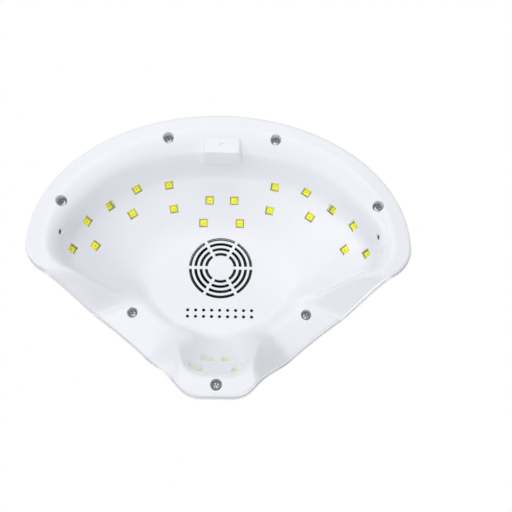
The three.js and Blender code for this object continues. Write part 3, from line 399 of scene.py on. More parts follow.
# Shares of the rim's width inwards, of the way to the panel and of the way up.
COVER = [(0, 0, 0), (0, 0, 0.07), (0.07, 0, 0.25), (0.14, 0.03, 0.5), (0.2, 0.16, 0.76),
         (0.2, 0.44, 0.94), (0.2, 0.8, 1), (0.2, 1, 1)]
ceiling_radius = ellipse_radius(50, 37, -11)
panel_radius = ellipse_radius(47, 34, PANEL_Y)

# %% Mix the tables along the outline


def mix(a, b, share):
    return a + (b - a) * share


def pillar_at(angles):
    """1 on the pillar, and 0 away from it."""
    off = np.abs(np.arctan2(np.cos(angles), -np.sin(angles)))
    return 1 - ramp(off, math.radians(15), math.radians(38))


def corner_at(angles):
    """1 in the rear corners, beside the hands, and 0 away from them."""
    return 1 - ramp(np.abs(np.sin(angles)), 0.12, 0.45)


def chamber_controls(angles):
    """Control points of the chamber's face, from the flange inwards."""
    arch, pillar, corner = arch_at(angles), pillar_at(angles), corner_at(angles)
    lean = ramp(np.sin(angles), 0.4, 0.9)
    far, edge, foot = outline_radius(angles), inset_radius(angles, COVER_LAP), ARCH_EDGE * arch
    top = foot + FLANGE
    rows = [(edge, top), (edge, (top + foot) / 2), (edge, foot)]
    for rim, near_hand, front, side, leaning in zip(RIM, CORNER, PILLAR, ARCH, LEAN):
        rim_way, rim_rise = mix(rim[0], near_hand[0], corner), mix(rim[1], near_hand[1], corner)
        at_rim = far - (rim_way + lean * leaning) * RIM_WIDTH
        at_front = far - front[0] * RIM_WIDTH
        at_side = inset_radius(angles, side[0] * RIM_WIDTH)
        rise = mix(mix(rim_rise, front[1], pillar), side[1], arch)
        rows.append((mix(mix(at_rim, at_front, pillar), at_side, arch), CHAMBER_HEIGHT * rise))
    start, start_z = rows[-1]
    for way, rise in DOME:
        rows.append((mix(start, ceiling_radius(angles), way), mix(start_z, CHAMBER_HEIGHT, rise)))
    return np.stack([np.stack(np.broadcast_arrays(r, z), 1) for r, z in rows], 1)


def panel_z(y):
    return LAMP_HEIGHT + math.tan(PANEL_TILT) * (y - PANEL_Y)


def cover_controls(angles):
    """Control points of the cover's outer face, from its lower edge to the control panel."""
    edge_z = ARCH_EDGE * arch_at(angles) + FLANGE + SEAM
    rows = []
    for inset, way, rise in COVER:
        radius = mix(inset_radius(angles, inset * RIM_WIDTH), panel_radius(angles), way)
        rows.append((radius, mix(edge_z, panel_z(PLAN_CENTRE_Y + radius * np.sin(angles)), rise)))
    return np.stack([np.stack(pair, 1) for pair in rows], 1)

# %% Sections as splines
ANGLE_STEPS = 360
TABLE_ANGLES = np.arange(ANGLE_STEPS) / ANGLE_STEPS * FULL
EASE = 5


def eased(controls, sharp_rows):
    """Radii eased along the outline, so that no corner creases."""
    out = controls.copy()
    weights = 1 + EASE - np.abs(np.arange(-EASE, EASE + 1))
    radii = sum(w * np.roll(controls[:, sharp_rows:, 0], -k, axis=0)
                for k, w in zip(range(-EASE, EASE + 1), weights))
    out[:, sharp_rows:, 0] = radii / weights.sum()
    return out


def controls_at(table, angles):
    place = np.mod(np.asarray(angles) / FULL, 1) * ANGLE_STEPS
    low = np.floor(place).astype(int)
    share = (place - low)[:, None, None]
    return table[low % ANGLE_STEPS] * (1 - share) + table[(low + 1) % ANGLE_STEPS] * share


def spline(controls, knots):
    """Cubic spline that starts and ends on its end controls, at one knot for each section."""
    last = controls.shape[1] - 1
    i = np.minimum(np.floor(knots), last + 1).astype(int)
    f = knots - i
    weights = [(1 - f) ** 3 / 6, (3 * f ** 3 - 6 * f ** 2 + 4) / 6,
               (-3 * f ** 3 + 3 * f ** 2 + 3 * f + 1) / 6, f ** 3 / 6]
    rows = np.arange(len(controls))
    return sum(w[:, None] * controls[rows, np.clip(i + j - 2, 0, last)]
               for j, w in enumerate(weights))

# %% Points on the faces
chamber_table = eased(chamber_controls(TABLE_ANGLES), 6)
cover_table = eased(cover_controls(TABLE_ANGLES), 3)
CHAMBER_KNOTS = chamber_table.shape[1] + 1
COVER_KNOTS = cover_table.shape[1] + 1
KNOT_STEP = 1e-3


def section_points(table, angles, knots, offset=0.0):
    """Points of the sections, moved off the face towards the inside of the housing."""
    angles = np.atleast_1d(np.asarray(angles, float))
    knots = np.broadcast_to(np.asarray(knots, float), angles.shape)
    controls = controls_at(table, angles)
    rz = spline(controls, knots)
    if offset:
        last = table.shape[1] + 1
        run = spline(controls, np.minimum(knots + KNOT_STEP, last))
        run = run - spline(controls, np.maximum(knots - KNOT_STEP, 0))
        run = offset * run / np.linalg.norm(run, axis=1)[:, None]
        rz = rz + np.stack([run[:, 1], -run[:, 0]], 1)
    radius, z = rz.T
    return np.stack([radius * np.cos(angles), PLAN_CENTRE_Y + radius * np.sin(angles), z], 1)


def turning_knot(low, high, before):
    """The knot at which a test, true before it, turns false."""
    for _ in range(30):
        middle = (low + high) / 2
        low, high = (middle, high) if before(middle) else (low, middle)
    return low


def knot_at_height(table, angle, z, low, high):
    return turning_knot(low, high, lambda k: section_points(table, angle, k)[0, 2] < z)


def on_chamber(x, y):
    """The point of the chamber's face at a place in plan."""
    angle = np.array([math.atan2(y - PLAN_CENTRE_Y, x)])
    reach = math.hypot(x, y - PLAN_CENTRE_Y)
    controls = controls_at(chamber_table, angle)
    reach_at = lambda knot: spline(controls, np.array([float(knot)]))[0, 0]
    if reach <= reach_at(CHAMBER_KNOTS):
        return Vector((x, y, CHAMBER_HEIGHT))
    knot = turning_knot(3.0, CHAMBER_KNOTS, lambda k: reach_at(k) > reach)
    return Vector((x, y, float(section_points(chamber_table, angle, knot)[0, 2])))


print("chamber at the middle of the left arch:", on_chamber(-60, -50))

# %% [markdown]
# ## White plastics
#
# Both mouldings are ABS. A single white would look like paper, so the chamber's satin has the
# faint mottling of a polished mould, in colour, gloss and relief, each a little out of step with
# the others. The cover is glossier, with the slight orange peel that shows in its highlights.

# %% Chamber and cover whites


def chamber_white():
    f = Finish("chamber white")
    clouds, grain = f.noise(38, 3), f.noise(0.55, 2)
    colour = f.blend(clouds, rgb(0.86, 0.87, 0.895), rgb(0.905, 0.915, 0.94))
    relief = clouds * 0.7 + grain * 0.03
    return f.surface(Base_Color=colour, Roughness=0.26 + f.noise(9, 2) * 0.16,
                     Normal=f.bump(relief, 0.25, 0.35), IOR=1.5)


def cover_white():
    f = Finish("cover white")
    clouds, peel = f.noise(45, 3), f.noise(1.6, 2)
    colour = f.blend(clouds, rgb(0.80, 0.805, 0.83), rgb(0.86, 0.865, 0.885))
    return f.surface(Base_Color=colour, Roughness=0.14 + f.noise(14, 2) * 0.1,
                     Normal=f.bump(peel, 0.02, 0.12), Coat_Weight=0.35, Coat_Roughness=0.06,
                     IOR=1.5)


CHAMBER_WHITE, COVER_WHITE = chamber_white(), cover_white()
print("finishes:", CHAMBER_WHITE.name, COVER_WHITE.name)

# %% [markdown]
# ## The two mouldings
#
# Each moulding is a wall between two lofted faces. The face that is seen has a ring of points
# at every quarter of a knot, so that light runs over it smoothly. The hidden face has only the
# few rings of the measured model, because an offset curve folds over itself in a tight corner.

# %% Loft a wall


def ring_points(table, knot, offset=0.0):
    return section_points(table, TABLE_ANGLES, knot, offset)


def loft(rings, start, end):
    """A closed surface through rings, with a point at each end, as vertices and faces."""
    count = len(rings[0])
    points = np.concatenate([[start], *rings, [end]])
    i = np.arange(count)
    j = (i + 1) % count
    faces = [(0, 1 + b, 1 + a) for a, b in zip(i, j)]
    for k in range(len(rings) - 1):
        low, high = 1 + k * count, 1 + (k + 1) * count
        faces += [(low + a, low + b, high + b, high + a) for a, b in zip(i, j)]
    last = 1 + (len(rings) - 1) * count
    faces += [(len(points) - 1, last + a, last + b) for a, b in zip(i, j)]
    return points, faces


def turn_outwards(mesh):
    """Join a mesh's doubled points, and turn its faces outwards."""
    work = bmesh.new()
    work.from_mesh(mesh)
    bmesh.ops.remove_doubles(work, verts=work.verts, dist=1e-7)
    bmesh.ops.recalc_face_normals(work, faces=work.faces)
    work.to_mesh(mesh)
    work.free()


def mesh_object(name, points, faces):
    """An object from millimetre points, itself at the origin."""
    mesh = bpy.data.meshes.new(name)
    mesh.from_pydata([tuple(p) for p in np.asarray(points, float) * MM], [], faces)
    turn_outwards(mesh)
    return linked(name, mesh)


def over_centre(z):
    return (0, PLAN_CENTRE_Y, z)


def between(name, rings, low, high):
    """A closed solid through rings, with a point over the plan's centre at each end."""
    return mesh_object(name, *loft(rings, over_centre(low), over_centre(high)))

# %% The chamber's wall
CHAMBER_FINE = np.arange(0, CHAMBER_KNOTS + 0.01, 0.25)
CHAMBER_HIDDEN = [0, 2.6, 5, 7.5, 8.8, 9.9, 11, 12.2, 13.5, 15, CHAMBER_KNOTS]
LIFT_FROM = 13.0
SOFT_FROM, SOFT_RINGS, SOFT_REACH, SOFT_RAYS, SOFT_INSIDE = 8.0, 72, 3.2, 3.0, 15.0
SOFT_START, LEAST_SOFT, EVEN_START = 0.3, 0.02, 0.35  # shares of the softened line


def raised_ring(knot, away):
    """A ring of the chamber's hidden face: square to the wall, but straight up on the ceiling.

    Beside the pillar the section nearly doubles back, so its normal can't be trusted there.
    """
    if knot < LIFT_FROM:
        return ring_points(chamber_table, knot, away)
    return ring_points(chamber_table, knot) + (0, 0, away)


def bell(distance, reach):
    return np.exp(-0.5 * (distance / reach) ** 2)


def softened(rings, centre):
    """The rings, with the bends between the rim and the flat ceiling rounded off.

    The control points give a kink where the slope meets the ceiling. Each ray's line is spaced
    out evenly from the rim to a little way inside the ceiling, then averaged with its neighbours:
    first along the ray, over a few millimetres, and then between rays.
    """
    first = int(np.searchsorted(CHAMBER_FINE, SOFT_FROM))
    edge = rings[-1]
    way_in = (centre - edge) / np.linalg.norm(edge - centre, axis=1)[:, None]
    inside = [edge + way_in * away for away in np.arange(1, SOFT_INSIDE + 1)]
    lines = []
    for line in np.array(rings[first:] + inside).transpose(1, 0, 2):
        way = np.concatenate([[0], np.cumsum(np.linalg.norm(np.diff(line, axis=0), axis=1))])
        at = np.linspace(0, way[-1], SOFT_RINGS)
        line = np.stack([np.interp(at, way, line[:, i]) for i in range(3)], 1)
        reach = SOFT_REACH * np.clip(at / (way[-1] * SOFT_START), LEAST_SOFT, 1) ** 1.5
        weights = bell(at[:, None] - at[None, :], reach[:, None])
        lines.append(weights @ line / weights.sum(1)[:, None])
    lines = np.array(lines)
    steps = np.arange(-int(3 * SOFT_RAYS), int(3 * SOFT_RAYS) + 1)
    weights = bell(steps, SOFT_RAYS) / bell(steps, SOFT_RAYS).sum()
    averaged = sum(weight * np.roll(lines, step, 0) for step, weight in zip(steps, weights))
    share = np.clip(np.linspace(0, 1, SOFT_RINGS) / EVEN_START, 0, 1)[None, :, None] ** 2
    return rings[:first] + list(mix(lines, averaged, share).transpose(1, 0, 2))


seen_face = softened([ring_points(chamber_table, k) for k in CHAMBER_FINE],
                     np.array(over_centre(CHAMBER_HEIGHT)))
hidden_face = [raised_ring(k, WALL) for k in CHAMBER_HIDDEN]
inner_shell = between("inner_shell_fine", seen_face[::-1] + hidden_face,
                      CHAMBER_HEIGHT, CHAMBER_HEIGHT + WALL)
print("wall of the chamber:", len(inner_shell.data.polygons), "faces")

# %% The cover's wall
COVER_FINE = np.arange(0, COVER_KNOTS + 0.01, 0.25)
COVER_HIDDEN = [0, 2.6, 4.4, 5.8, 7.2, COVER_KNOTS]
FACET_TOP = 89.73  # the top of the measured model's facets, which the finer curve must not pass
hidden_face = [ring_points(cover_table, k, -WALL) for k in COVER_HIDDEN]
seen_face = [ring_points(cover_table, k) for k in COVER_FINE]
for ring in seen_face:
    ring[:, 2] = np.minimum(ring[:, 2], FACET_TOP)
middle_z = panel_z(PLAN_CENTRE_Y)
top_cover = between("top_cover_fine", hidden_face[::-1] + seen_face, middle_z - WALL, middle_z)
print("wall of the cover:", len(top_cover.data.polygons), "faces")

# %% [markdown]
# ## Simple cutters and stands
#
# Holes, counterbores and wells are cut with plain solids. Blender's Manifold solver joins and
# cuts closed meshes in a moment, and it keeps them closed, which the exported mesh needs.

# %% Solids for cutting and joining


def translation(x, y, z):
    return Matrix.Translation((x, y, z))


def turned(degrees):
    return Matrix.Rotation(math.radians(degrees), 4, "Z")


UPSIDE_DOWN = Matrix.Rotation(math.pi, 4, "X")
POINTING_BACK = Matrix.Rotation(-math.pi / 2, 4, "X")


def placed(points, matrix):
    """Millimetre points through a millimetre matrix."""
    return [tuple(matrix @ Vector(p)) for p in points]


class Solids:
    """Closed millimetre solids that are gathered into one cutter, stand or piece."""

    def __init__(self):
        self.parts = []

    def add(self, points, faces):
        self.parts.append((points, faces))
        return self

    def lathe(self, profile, sides, matrix=Matrix()):
        """A profile of radii and heights turned about Z, its ends on the axis."""
        turn = np.arange(sides) / sides * FULL
        rings = [np.stack([r * np.cos(turn), r * np.sin(turn), np.full(sides, z)], 1)
                 for r, z in profile[1:-1]]
        points, faces = loft(rings, (0, 0, profile[0][1]), (0, 0, profile[-1][1]))
        return self.add(placed(points, matrix), faces)

    def bar(self, low, high, radius, matrix=Matrix(), sides=48):
        """A round bar along Z."""
        return self.lathe([(0, low), (radius, low), (radius, high), (0, high)], sides, matrix)

    def prism(self, shape, low, high, matrix=Matrix(), low_scale=1.0):
        """A plan shape pushed up from low to high."""
        low_shape = [(x * low_scale, y * low_scale) for x, y in shape]
        return self.stack([(low_shape, low), (shape, high)], matrix)

    def stack(self, layers, matrix=Matrix()):
        """A solid through plan shapes of as many points, each with its height."""
        n = len(layers[0][0])
        points = [(x, y, z) for shape, z in layers for x, y in shape]
        end = len(points) - n
        faces = [tuple(range(n))[::-1], tuple(range(end, end + n))]
        faces += [(k + i, k + (i + 1) % n, k + n + (i + 1) % n, k + n + i)
                  for k in range(0, end, n) for i in range(n)]
        return self.add(placed(points, matrix), faces)

    def box(self, low, high, matrix=Matrix()):
        (x0, y0, z0), (x1, y1, z1) = low, high
        return self.prism([(x0, y0), (x1, y0), (x1, y1), (x0, y1)], z0, z1, matrix)

    def object(self, name):
        """All the solids as one object, joined where they overlap."""
        whole, *others = [mesh_object(f"{name}_{i}", *part) for i, part in enumerate(self.parts)]
        for other in others:
            combine(whole, other, "UNION")
        whole.name = name
        return whole

# %% Join, cut and discard


def combine(target, tool, operation):
    """Join or cut with the Manifold solver, and remove the tool."""
    modifier = target.modifiers.new(operation.lower(), "BOOLEAN")
    modifier.operation, modifier.solver, modifier.object = operation, "MANIFOLD", tool
    bake(target)
    discard(tool)


def plain_mesh(made):
    return bpy.data.meshes.new_from_object(
        made.evaluated_get(bpy.context.evaluated_depsgraph_get()))


def bake(target):
    """Turn an object with modifiers into a plain mesh."""
    mesh = plain_mesh(target)
    target.modifiers.clear()
    old, target.data = target.data, mesh
    bpy.data.meshes.remove(old)


def discard(made):
    mesh = made.data
    bpy.data.objects.remove(made)
    bpy.data.meshes.remove(mesh)

# %% Plan shapes


def square(size):
    h = size / 2
    return [(-h, -h), (h, -h), (h, h), (-h, h)]


def rounded(width, depth, corner, steps=8):
    """A rectangle with rounded corners."""
    points = []
    for quarter, (cx, cy) in enumerate(((1, 1), (-1, 1), (-1, -1), (1, -1))):
        for t in np.linspace(quarter, quarter + 1, steps + 1) * math.pi / 2:
            points.append((cx * (width / 2 - corner) + corner * math.cos(t),
                           cy * (depth / 2 - corner) + corner * math.sin(t)))
    return points

# %% [markdown]
# ## Where the lights are
#
# Four LEDs share one flat board, and each board lies just clear of the shell above it. The
# places come from the same shares as in the measured model, so that windows, boards and LEDs
# agree. The frame of a board is worked out from the four spots on the chamber's face.

# %% Places of the light boards
LED_SHARES = {  # shares of the half width and of the reach back, and a turn in degrees
    "inner": [(0.474, 0.519, -38.5), (0.298, 0.57, -16.5), (0.271, 0.419, -16),
              (0.498, 0.359, -39)],
    "outer": [(0.617, 0.391, -45), (0.73, 0.251, 24.5), (0.794, 0.031, 23.5), (0.685, 0.09, 29)],
    "middle": [(0.07, 0.491, 0), (-0.07, 0.491, 0), (-0.104, 0.335, 0), (0.104, 0.335, 0)],
}
PILLAR_LEDS = [(6.65, 28.7, 0), (-6.65, 28.7, 0), (-13.04, 19.7, 12), (13.04, 19.7, -12)]
WINDOW, WELL_MOUTH, WELL_WALL, SKIRT_WALL = 5.9, 10.0, 1.1, 0.8
BOARD_MARGIN, PILLAR_MARGIN, PILLAR_LIFT = 5.5, 4.4, 1.0
NEARBY, GRID_STEPS = 0.5, 6


def led_spots(group, side=1):
    return [(side * x * HALF_WIDTH, WIDEST_Y + y * BACK_REACH, side * turn)
            for x, y, turn in LED_SHARES[group]]


BOARDS = {
    "right_inner": led_spots("inner"), "right_outer": led_spots("outer"),
    "left_inner": led_spots("inner", -1), "left_outer": led_spots("outer", -1),
    "middle": led_spots("middle"),
    "pillar": [(x, inset - FRONT_REACH, turn) for x, inset, turn in PILLAR_LEDS],
}


def framed(across, along, up, origin):
    """A matrix from its three directions and its origin."""
    matrix = Matrix((across, along, up)).transposed().to_4x4()
    matrix.translation = origin
    return matrix


def on_upper_face(x, y):
    p = on_chamber(x, y)
    normal = (on_chamber(x + NEARBY, y) - p).cross(on_chamber(x, y + NEARBY) - p)
    return p + normal.normalized() * WALL


def board_frame(name, places):
    """The board's frame, its underside at zero, and its LEDs' places in it."""
    spots = [on_chamber(x, y) for x, y, _ in places]
    centre = sum(spots, Vector()) / len(spots)
    up = (spots[2] - spots[0]).cross(spots[3] - spots[1]).normalized()
    up = -up if up.z < 0 else up
    across = Vector((0, 1, 0)).cross(up).normalized()
    margin, lift = (PILLAR_MARGIN, PILLAR_LIFT) if name == "pillar" else (BOARD_MARGIN, SEAM)
    corners = []
    for p in spots:
        out = (p - centre) - (p - centre).dot(up) * up
        corners.append(centre + out * (1 + margin / out.length))
    shares = np.arange(GRID_STEPS + 1) / GRID_STEPS
    grid = [corners[0].lerp(corners[1], i).lerp(corners[3].lerp(corners[2], i), j)
            for i in shares for j in shares]
    highest = max((on_upper_face(p.x, p.y) - centre).dot(up) for p in grid)
    matrix = framed(across, up.cross(across), up, centre + up * (highest + lift))
    back = matrix.inverted()
    return matrix, [back @ p for p in spots]


boards = {name: board_frame(name, places) for name, places in BOARDS.items()}


def led_frames(name):
    """Each LED's frame on its board, and the height of the chamber's face in it."""
    matrix, spots = boards[name]
    return [(matrix @ translation(spot.x, spot.y, 0) @ turned(turn), spot.z)
            for spot, (_, _, turn) in zip(spots, BOARDS[name])]


print("LED depths under the face, mm:",
      {name: [round(-z, 1) for _, z in led_frames(name)] for name in boards})

# %% Places of the screws, the fan and the sensors
CASE_SCREWS = {"rear": (0.291, 0.801), "side": (0.831, 0.293), "opening": (0.475, 0.336)}
PILLAR_SCREW_INSET = 8.1
TOWER_BORE, TOWER_WALL, TOWER_DEPTH, TOWER_FLOOR = 3.65, 1.55, 6.0, 2.5
BOSS, PILOT, SCREW_BITE = 3.0, 1.7, 7.0
FAN_Y, FAN_SIZE, FAN_DEPTH, FAN_LIFT = 1.7, 45.0, 10.0, 1.0
FAN_FOOT = CHAMBER_HEIGHT + WALL + FAN_LIFT
FAN_HOLE_AT, FAN_BORE = FAN_SIZE / 2 - 4.5, FAN_SIZE / 2 - 1.3
BACK_Y = WIDEST_Y + BACK_REACH


def screw_place(x, y):
    seat = on_chamber(x, y).z + TOWER_DEPTH
    return x, y, seat, seat + TOWER_FLOOR


case_screws = [screw_place(0, PILLAR_SCREW_INSET - FRONT_REACH)]
for flip in (1, -1):
    for x, y in (CASE_SCREWS["rear"], CASE_SCREWS["side"]):
        case_screws.append(screw_place(flip * x * HALF_WIDTH, WIDEST_Y + y * BACK_REACH))
    x, y = CASE_SCREWS["opening"]
    case_screws.append(screw_place(flip * x * HALF_WIDTH, -y * FRONT_REACH))
fan_holes = [(x * FAN_HOLE_AT, FAN_Y + y * FAN_HOLE_AT)
             for x, y in ((1, 1), (-1, 1), (-1, -1), (1, -1))]
SENSOR_ANGLE, SENSOR_Z = math.radians(9), 8.3


def sensor_frame(flip):
    angle = SENSOR_ANGLE if flip > 0 else math.pi - SENSOR_ANGLE
    knot = knot_at_height(chamber_table, angle, SENSOR_Z, 3, CHAMBER_KNOTS)
    face = Vector(section_points(chamber_table, angle, knot)[0])
    out = (Vector(section_points(chamber_table, angle, knot, WALL)[0]) - face).normalized()
    across = Vector((0, 0, 1)).cross(out).normalized()
    return framed(across, out.cross(across), out, face)


sensors = [sensor_frame(1), sensor_frame(-1)]


def cover_back(z):
    knot = knot_at_height(cover_table, math.pi / 2, z, 0, COVER_KNOTS / 2)
    return section_points(cover_table, math.pi / 2, knot)[0, 1]


JACK_Z, JACK_HALF, JACK_HEIGHT = 11.0, 4.6, 10.8
JACK_END = cover_back(JACK_Z)
JACK_FRONT = BACK_Y - 25
print("screws:", len(case_screws), " socket mouth at y", round(JACK_END, 2))

# %% [markdown]
# ## The chamber moulding's holes and stands
#
# On the hidden side stand the towers of the case screws, the fan's feet, short skirts behind the
# windows and deeper wells for the pillar's LEDs. On the seen side are the windows, the grille,
# two rows of vents and the lump that holds the socket. Repeated pieces come from Geometry Nodes:
# one solid and a set of places. A tree has named inputs, so it serves for more than one piece.

# %% Trees with named inputs


def new_tree(name, **inputs):
    """A Geometry Nodes tree, and its named inputs as wires."""
    tree = bpy.data.node_groups.new(name, "GeometryNodeTree")
    for label, kind in inputs.items():
        tree.interface.new_socket(label, in_out="INPUT", socket_type="NodeSocket" + kind)
    tree.interface.new_socket("Geometry", in_out="OUTPUT", socket_type="NodeSocketGeometry")
    start = tree.nodes.new("NodeGroupInput")
    return tree, {label: Wire(tree, start.outputs[label]) for label in inputs}


def end_tree(tree, instances, finish):
    """Make the instances real, and paint them."""
    real = node(tree, "GeometryNodeRealizeInstances", None, instances)
    painted = node(tree, "GeometryNodeSetMaterial", None, Geometry=real, Material=finish)
    node(tree, "NodeGroupOutput", None, painted)
    return tree


def grown(made, tree, **values):
    """What a tree makes of an object and of its named inputs, as a plain mesh."""
    modifier = made.modifiers.new("grow", "NODES")
    modifier.node_group = tree
    for item in tree.interface.items_tree:
        if item.in_out == "INPUT" and item.name in values:
            modifier[item.identifier] = values[item.name]
    bake(made)
    return made


def repeat_tree():
    """The object Piece at each point, turned by the point's own `turn`, with one Finish."""
    tree, given = new_tree("repeat a piece", Geometry="Geometry", Piece="Object",
                           Finish="Material")
    piece = node(tree, "GeometryNodeObjectInfo", None, given["Piece"], output="Geometry")
    turn = node(tree, "GeometryNodeInputNamedAttribute", {"data_type": "FLOAT_VECTOR"}, "turn")
    each = node(tree, "GeometryNodeInstanceOnPoints", None, Points=given["Geometry"],
                Instance=piece, Rotation=turn)
    return end_tree(tree, each, given["Finish"])


REPEAT = repeat_tree()


def repeated(name, piece, matrices, finish):
    """The piece at each millimetre matrix, as one plain mesh. The piece itself goes."""
    mesh = bpy.data.meshes.new(name)
    mesh.from_pydata([m.translation * MM for m in matrices], [], [])
    turns = mesh.attributes.new("turn", "FLOAT_VECTOR", "POINT")
    for spot, matrix in zip(turns.data, matrices):
        spot.vector = matrix.to_euler()
    made = grown(linked(name, mesh), REPEAT, Piece=piece, Finish=finish)
    discard(piece)
    return made

# %% Stands on the shell's hidden side
MID_KNOTS = [0, 2.6, 5, 6.2, 7.5, 8.2, 8.8, 9.4, 9.9, 10.5, 11, 11.6, 12.2, 12.9, 13.5, 14.2, 15,
             16, CHAMBER_KNOTS]
LAST_RING = FAN_BORE + 0.1
DUCT, DUCT_WALL, FOOT_RADIUS = LAST_RING + 0.85, 1.8, 3
SENSOR_SEAT, SENSOR_COLLAR = WALL + 2 + SEAM, 3.8


def open_ended(rings, z):
    """Rings with one more, straight over or under the first, at a height."""
    end = rings[0].copy()
    end[:, 2] = z
    return [end] + rings


mid_wall = open_ended([raised_ring(k, WALL / 2) for k in MID_KNOTS], LAMP_HEIGHT)
above = between("above_shell", mid_wall[::-1], CHAMBER_HEIGHT + WALL / 2, LAMP_HEIGHT)

stands = Solids()
for name in boards:
    wall, flare = (WELL_WALL, WELL_MOUTH - WINDOW) if name == "pillar" else (SKIRT_WALL, 0)
    outer = WINDOW + 2 * wall
    for place, depth in led_frames(name):
        stands.prism(square(outer), depth, -SEAM, place, low_scale=1 + flare / outer)
for x, y, seat, top in case_screws:
    stands.bar(0, top, TOWER_BORE + TOWER_WALL, translation(x, y, 0), sides=32)
for x, y in fan_holes:
    stands.bar(CHAMBER_HEIGHT, FAN_FOOT, FOOT_RADIUS, translation(x, y, 0), sides=24)
stands.bar(CHAMBER_HEIGHT, FAN_FOOT, DUCT + DUCT_WALL, translation(0, FAN_Y, 0), sides=96)
for matrix in sensors:
    stands.bar(0, SENSOR_SEAT, SENSOR_COLLAR, matrix, sides=32)
stand = stands.object("stands")
combine(stand, above, "INTERSECT")
combine(inner_shell, stand, "UNION")

# %% The lump that holds the socket
LUMP_FRONT, LUMP_BACK, LUMP_HALF, LUMP_BEND = BACK_Y - 29.4, BACK_Y - 18, 12.5, 2
# Each ring's height, its growth sideways and its reach backwards.
LUMP_RINGS = [(1.6, -1.7, 0), (1.75, -0.9, 0.6), (2.3, -0.3, 1.1), (3.2, 0, 1.2), (16.6, 2.5, 3.7)]


def lump_ring(z, growth, reach):
    """One ring of a drafted box with rounded front corners."""
    half, near = LUMP_HALF + growth, LUMP_FRONT - growth / 2
    turns = np.linspace(0, math.pi / 2, 7)
    left = [(-half, LUMP_BACK + reach)]
    left += [(-half + LUMP_BEND * (1 - math.cos(t)), near + LUMP_BEND * (1 - math.sin(t)))
             for t in turns]
    return np.array([(x, y, z) for x, y in left + [(-x, y) for x, y in left[::-1]]])


lump_middle = (LUMP_FRONT + LUMP_BACK) / 2
lump = mesh_object("socket_lump", *loft([lump_ring(*ring) for ring in LUMP_RINGS],
                                        (0, lump_middle, LUMP_RINGS[0][0]),
                                        (0, lump_middle, LUMP_RINGS[-1][0])))
combine(inner_shell, lump, "UNION")

# %% Holes through the chamber moulding
GRILLE_THICKNESS, RIM_FACE = 1.1, 20
EYE_HOLE, EYE_SEAT, COUNTERSINK = 1.65, 2.6, [(0, -1), (3.3, -1), (2.5, 0), (1.6, 0.9), (0, 0.9)]
DIMPLE_Y, DIMPLE_DEPTH, DIMPLE_RADIUS = BACK_Y - 23.7, 2.3, 1.8
SOCKET_SPACE, SOCKET_TOP, SOCKET_RIB, SOCKET_FLOOR = 10.3, 17.6, 2.2, 6

cutters = Solids()
for name in boards:
    mouth = WELL_MOUTH if name == "pillar" else WINDOW
    for place, depth in led_frames(name):
        cutters.prism(square(WINDOW), depth - mouth / 2, 0, place, low_scale=mouth / WINDOW)
for x, y, seat, top in case_screws:
    face = on_chamber(x, y).z
    cutters.bar(-1 if face < RIM_FACE else face - 4, seat, TOWER_BORE, translation(x, y, 0))
    cutters.bar(seat - 1, top + 1, PILOT, translation(x, y, 0), sides=24)
cutters.bar(CHAMBER_HEIGHT + GRILLE_THICKNESS, FAN_FOOT + 1, DUCT, translation(0, FAN_Y, 0),
            sides=96)
for x, y in fan_holes:
    cutters.bar(CHAMBER_HEIGHT + WALL / 2, FAN_FOOT + 1, PILOT, translation(x, y, 0), sides=24)
for matrix in sensors:
    cutters.bar(-1, WALL + 1, EYE_HOLE, matrix)
    cutters.lathe(COUNTERSINK, 48, matrix)
    cutters.bar(WALL, SENSOR_SEAT + 1, EYE_SEAT, matrix)
cutters.bar(0, DIMPLE_DEPTH, DIMPLE_RADIUS, translation(0, DIMPLE_Y, 0), sides=40)
jack_floor = JACK_Z - JACK_HEIGHT / 2 - SEAM
jack_side = JACK_HALF + SEAM
space_front = LUMP_FRONT + WALL
cutters.box((-SOCKET_SPACE, space_front, jack_floor + SOCKET_FLOOR),
            (SOCKET_SPACE, LUMP_BACK, SOCKET_TOP))
cutters.box((-jack_side, JACK_FRONT - SEAM, jack_floor), (jack_side, JACK_END, SOCKET_TOP))
for flip in (1, -1):
    low, high = sorted((flip * (jack_side + SOCKET_RIB), flip * SOCKET_SPACE))
    cutters.box((low, space_front, jack_floor), (high, LUMP_BACK, SOCKET_TOP))
cutter = cutters.object("chamber_cutters")

# %% [markdown]
# The grille is four rings of slots between six spokes. Each slot is an arc swept with a
# rectangle, and a tree makes a whole ring from its radius, the slot's width and the spoke's, so
# that the spokes stay parallel. The vents are a grid of small round holes from one tree too.

# %% Sizes of the grille and the vents
GRILLE_RADII = np.linspace(0.474 * LAST_RING, LAST_RING, 4)
SLOT, SPOKE, SPOKES, THROUGH = 2.1, 2.1, 6, WALL + 1.2
VENT_COLUMNS, VENT_ROWS, VENT_X, VENT_Y, VENT_RADIUS, FIRST_VENT_Y = 9, 2, 5.5, 4.5, 1.15, -29.1

# %% Trees for the grille and the vents


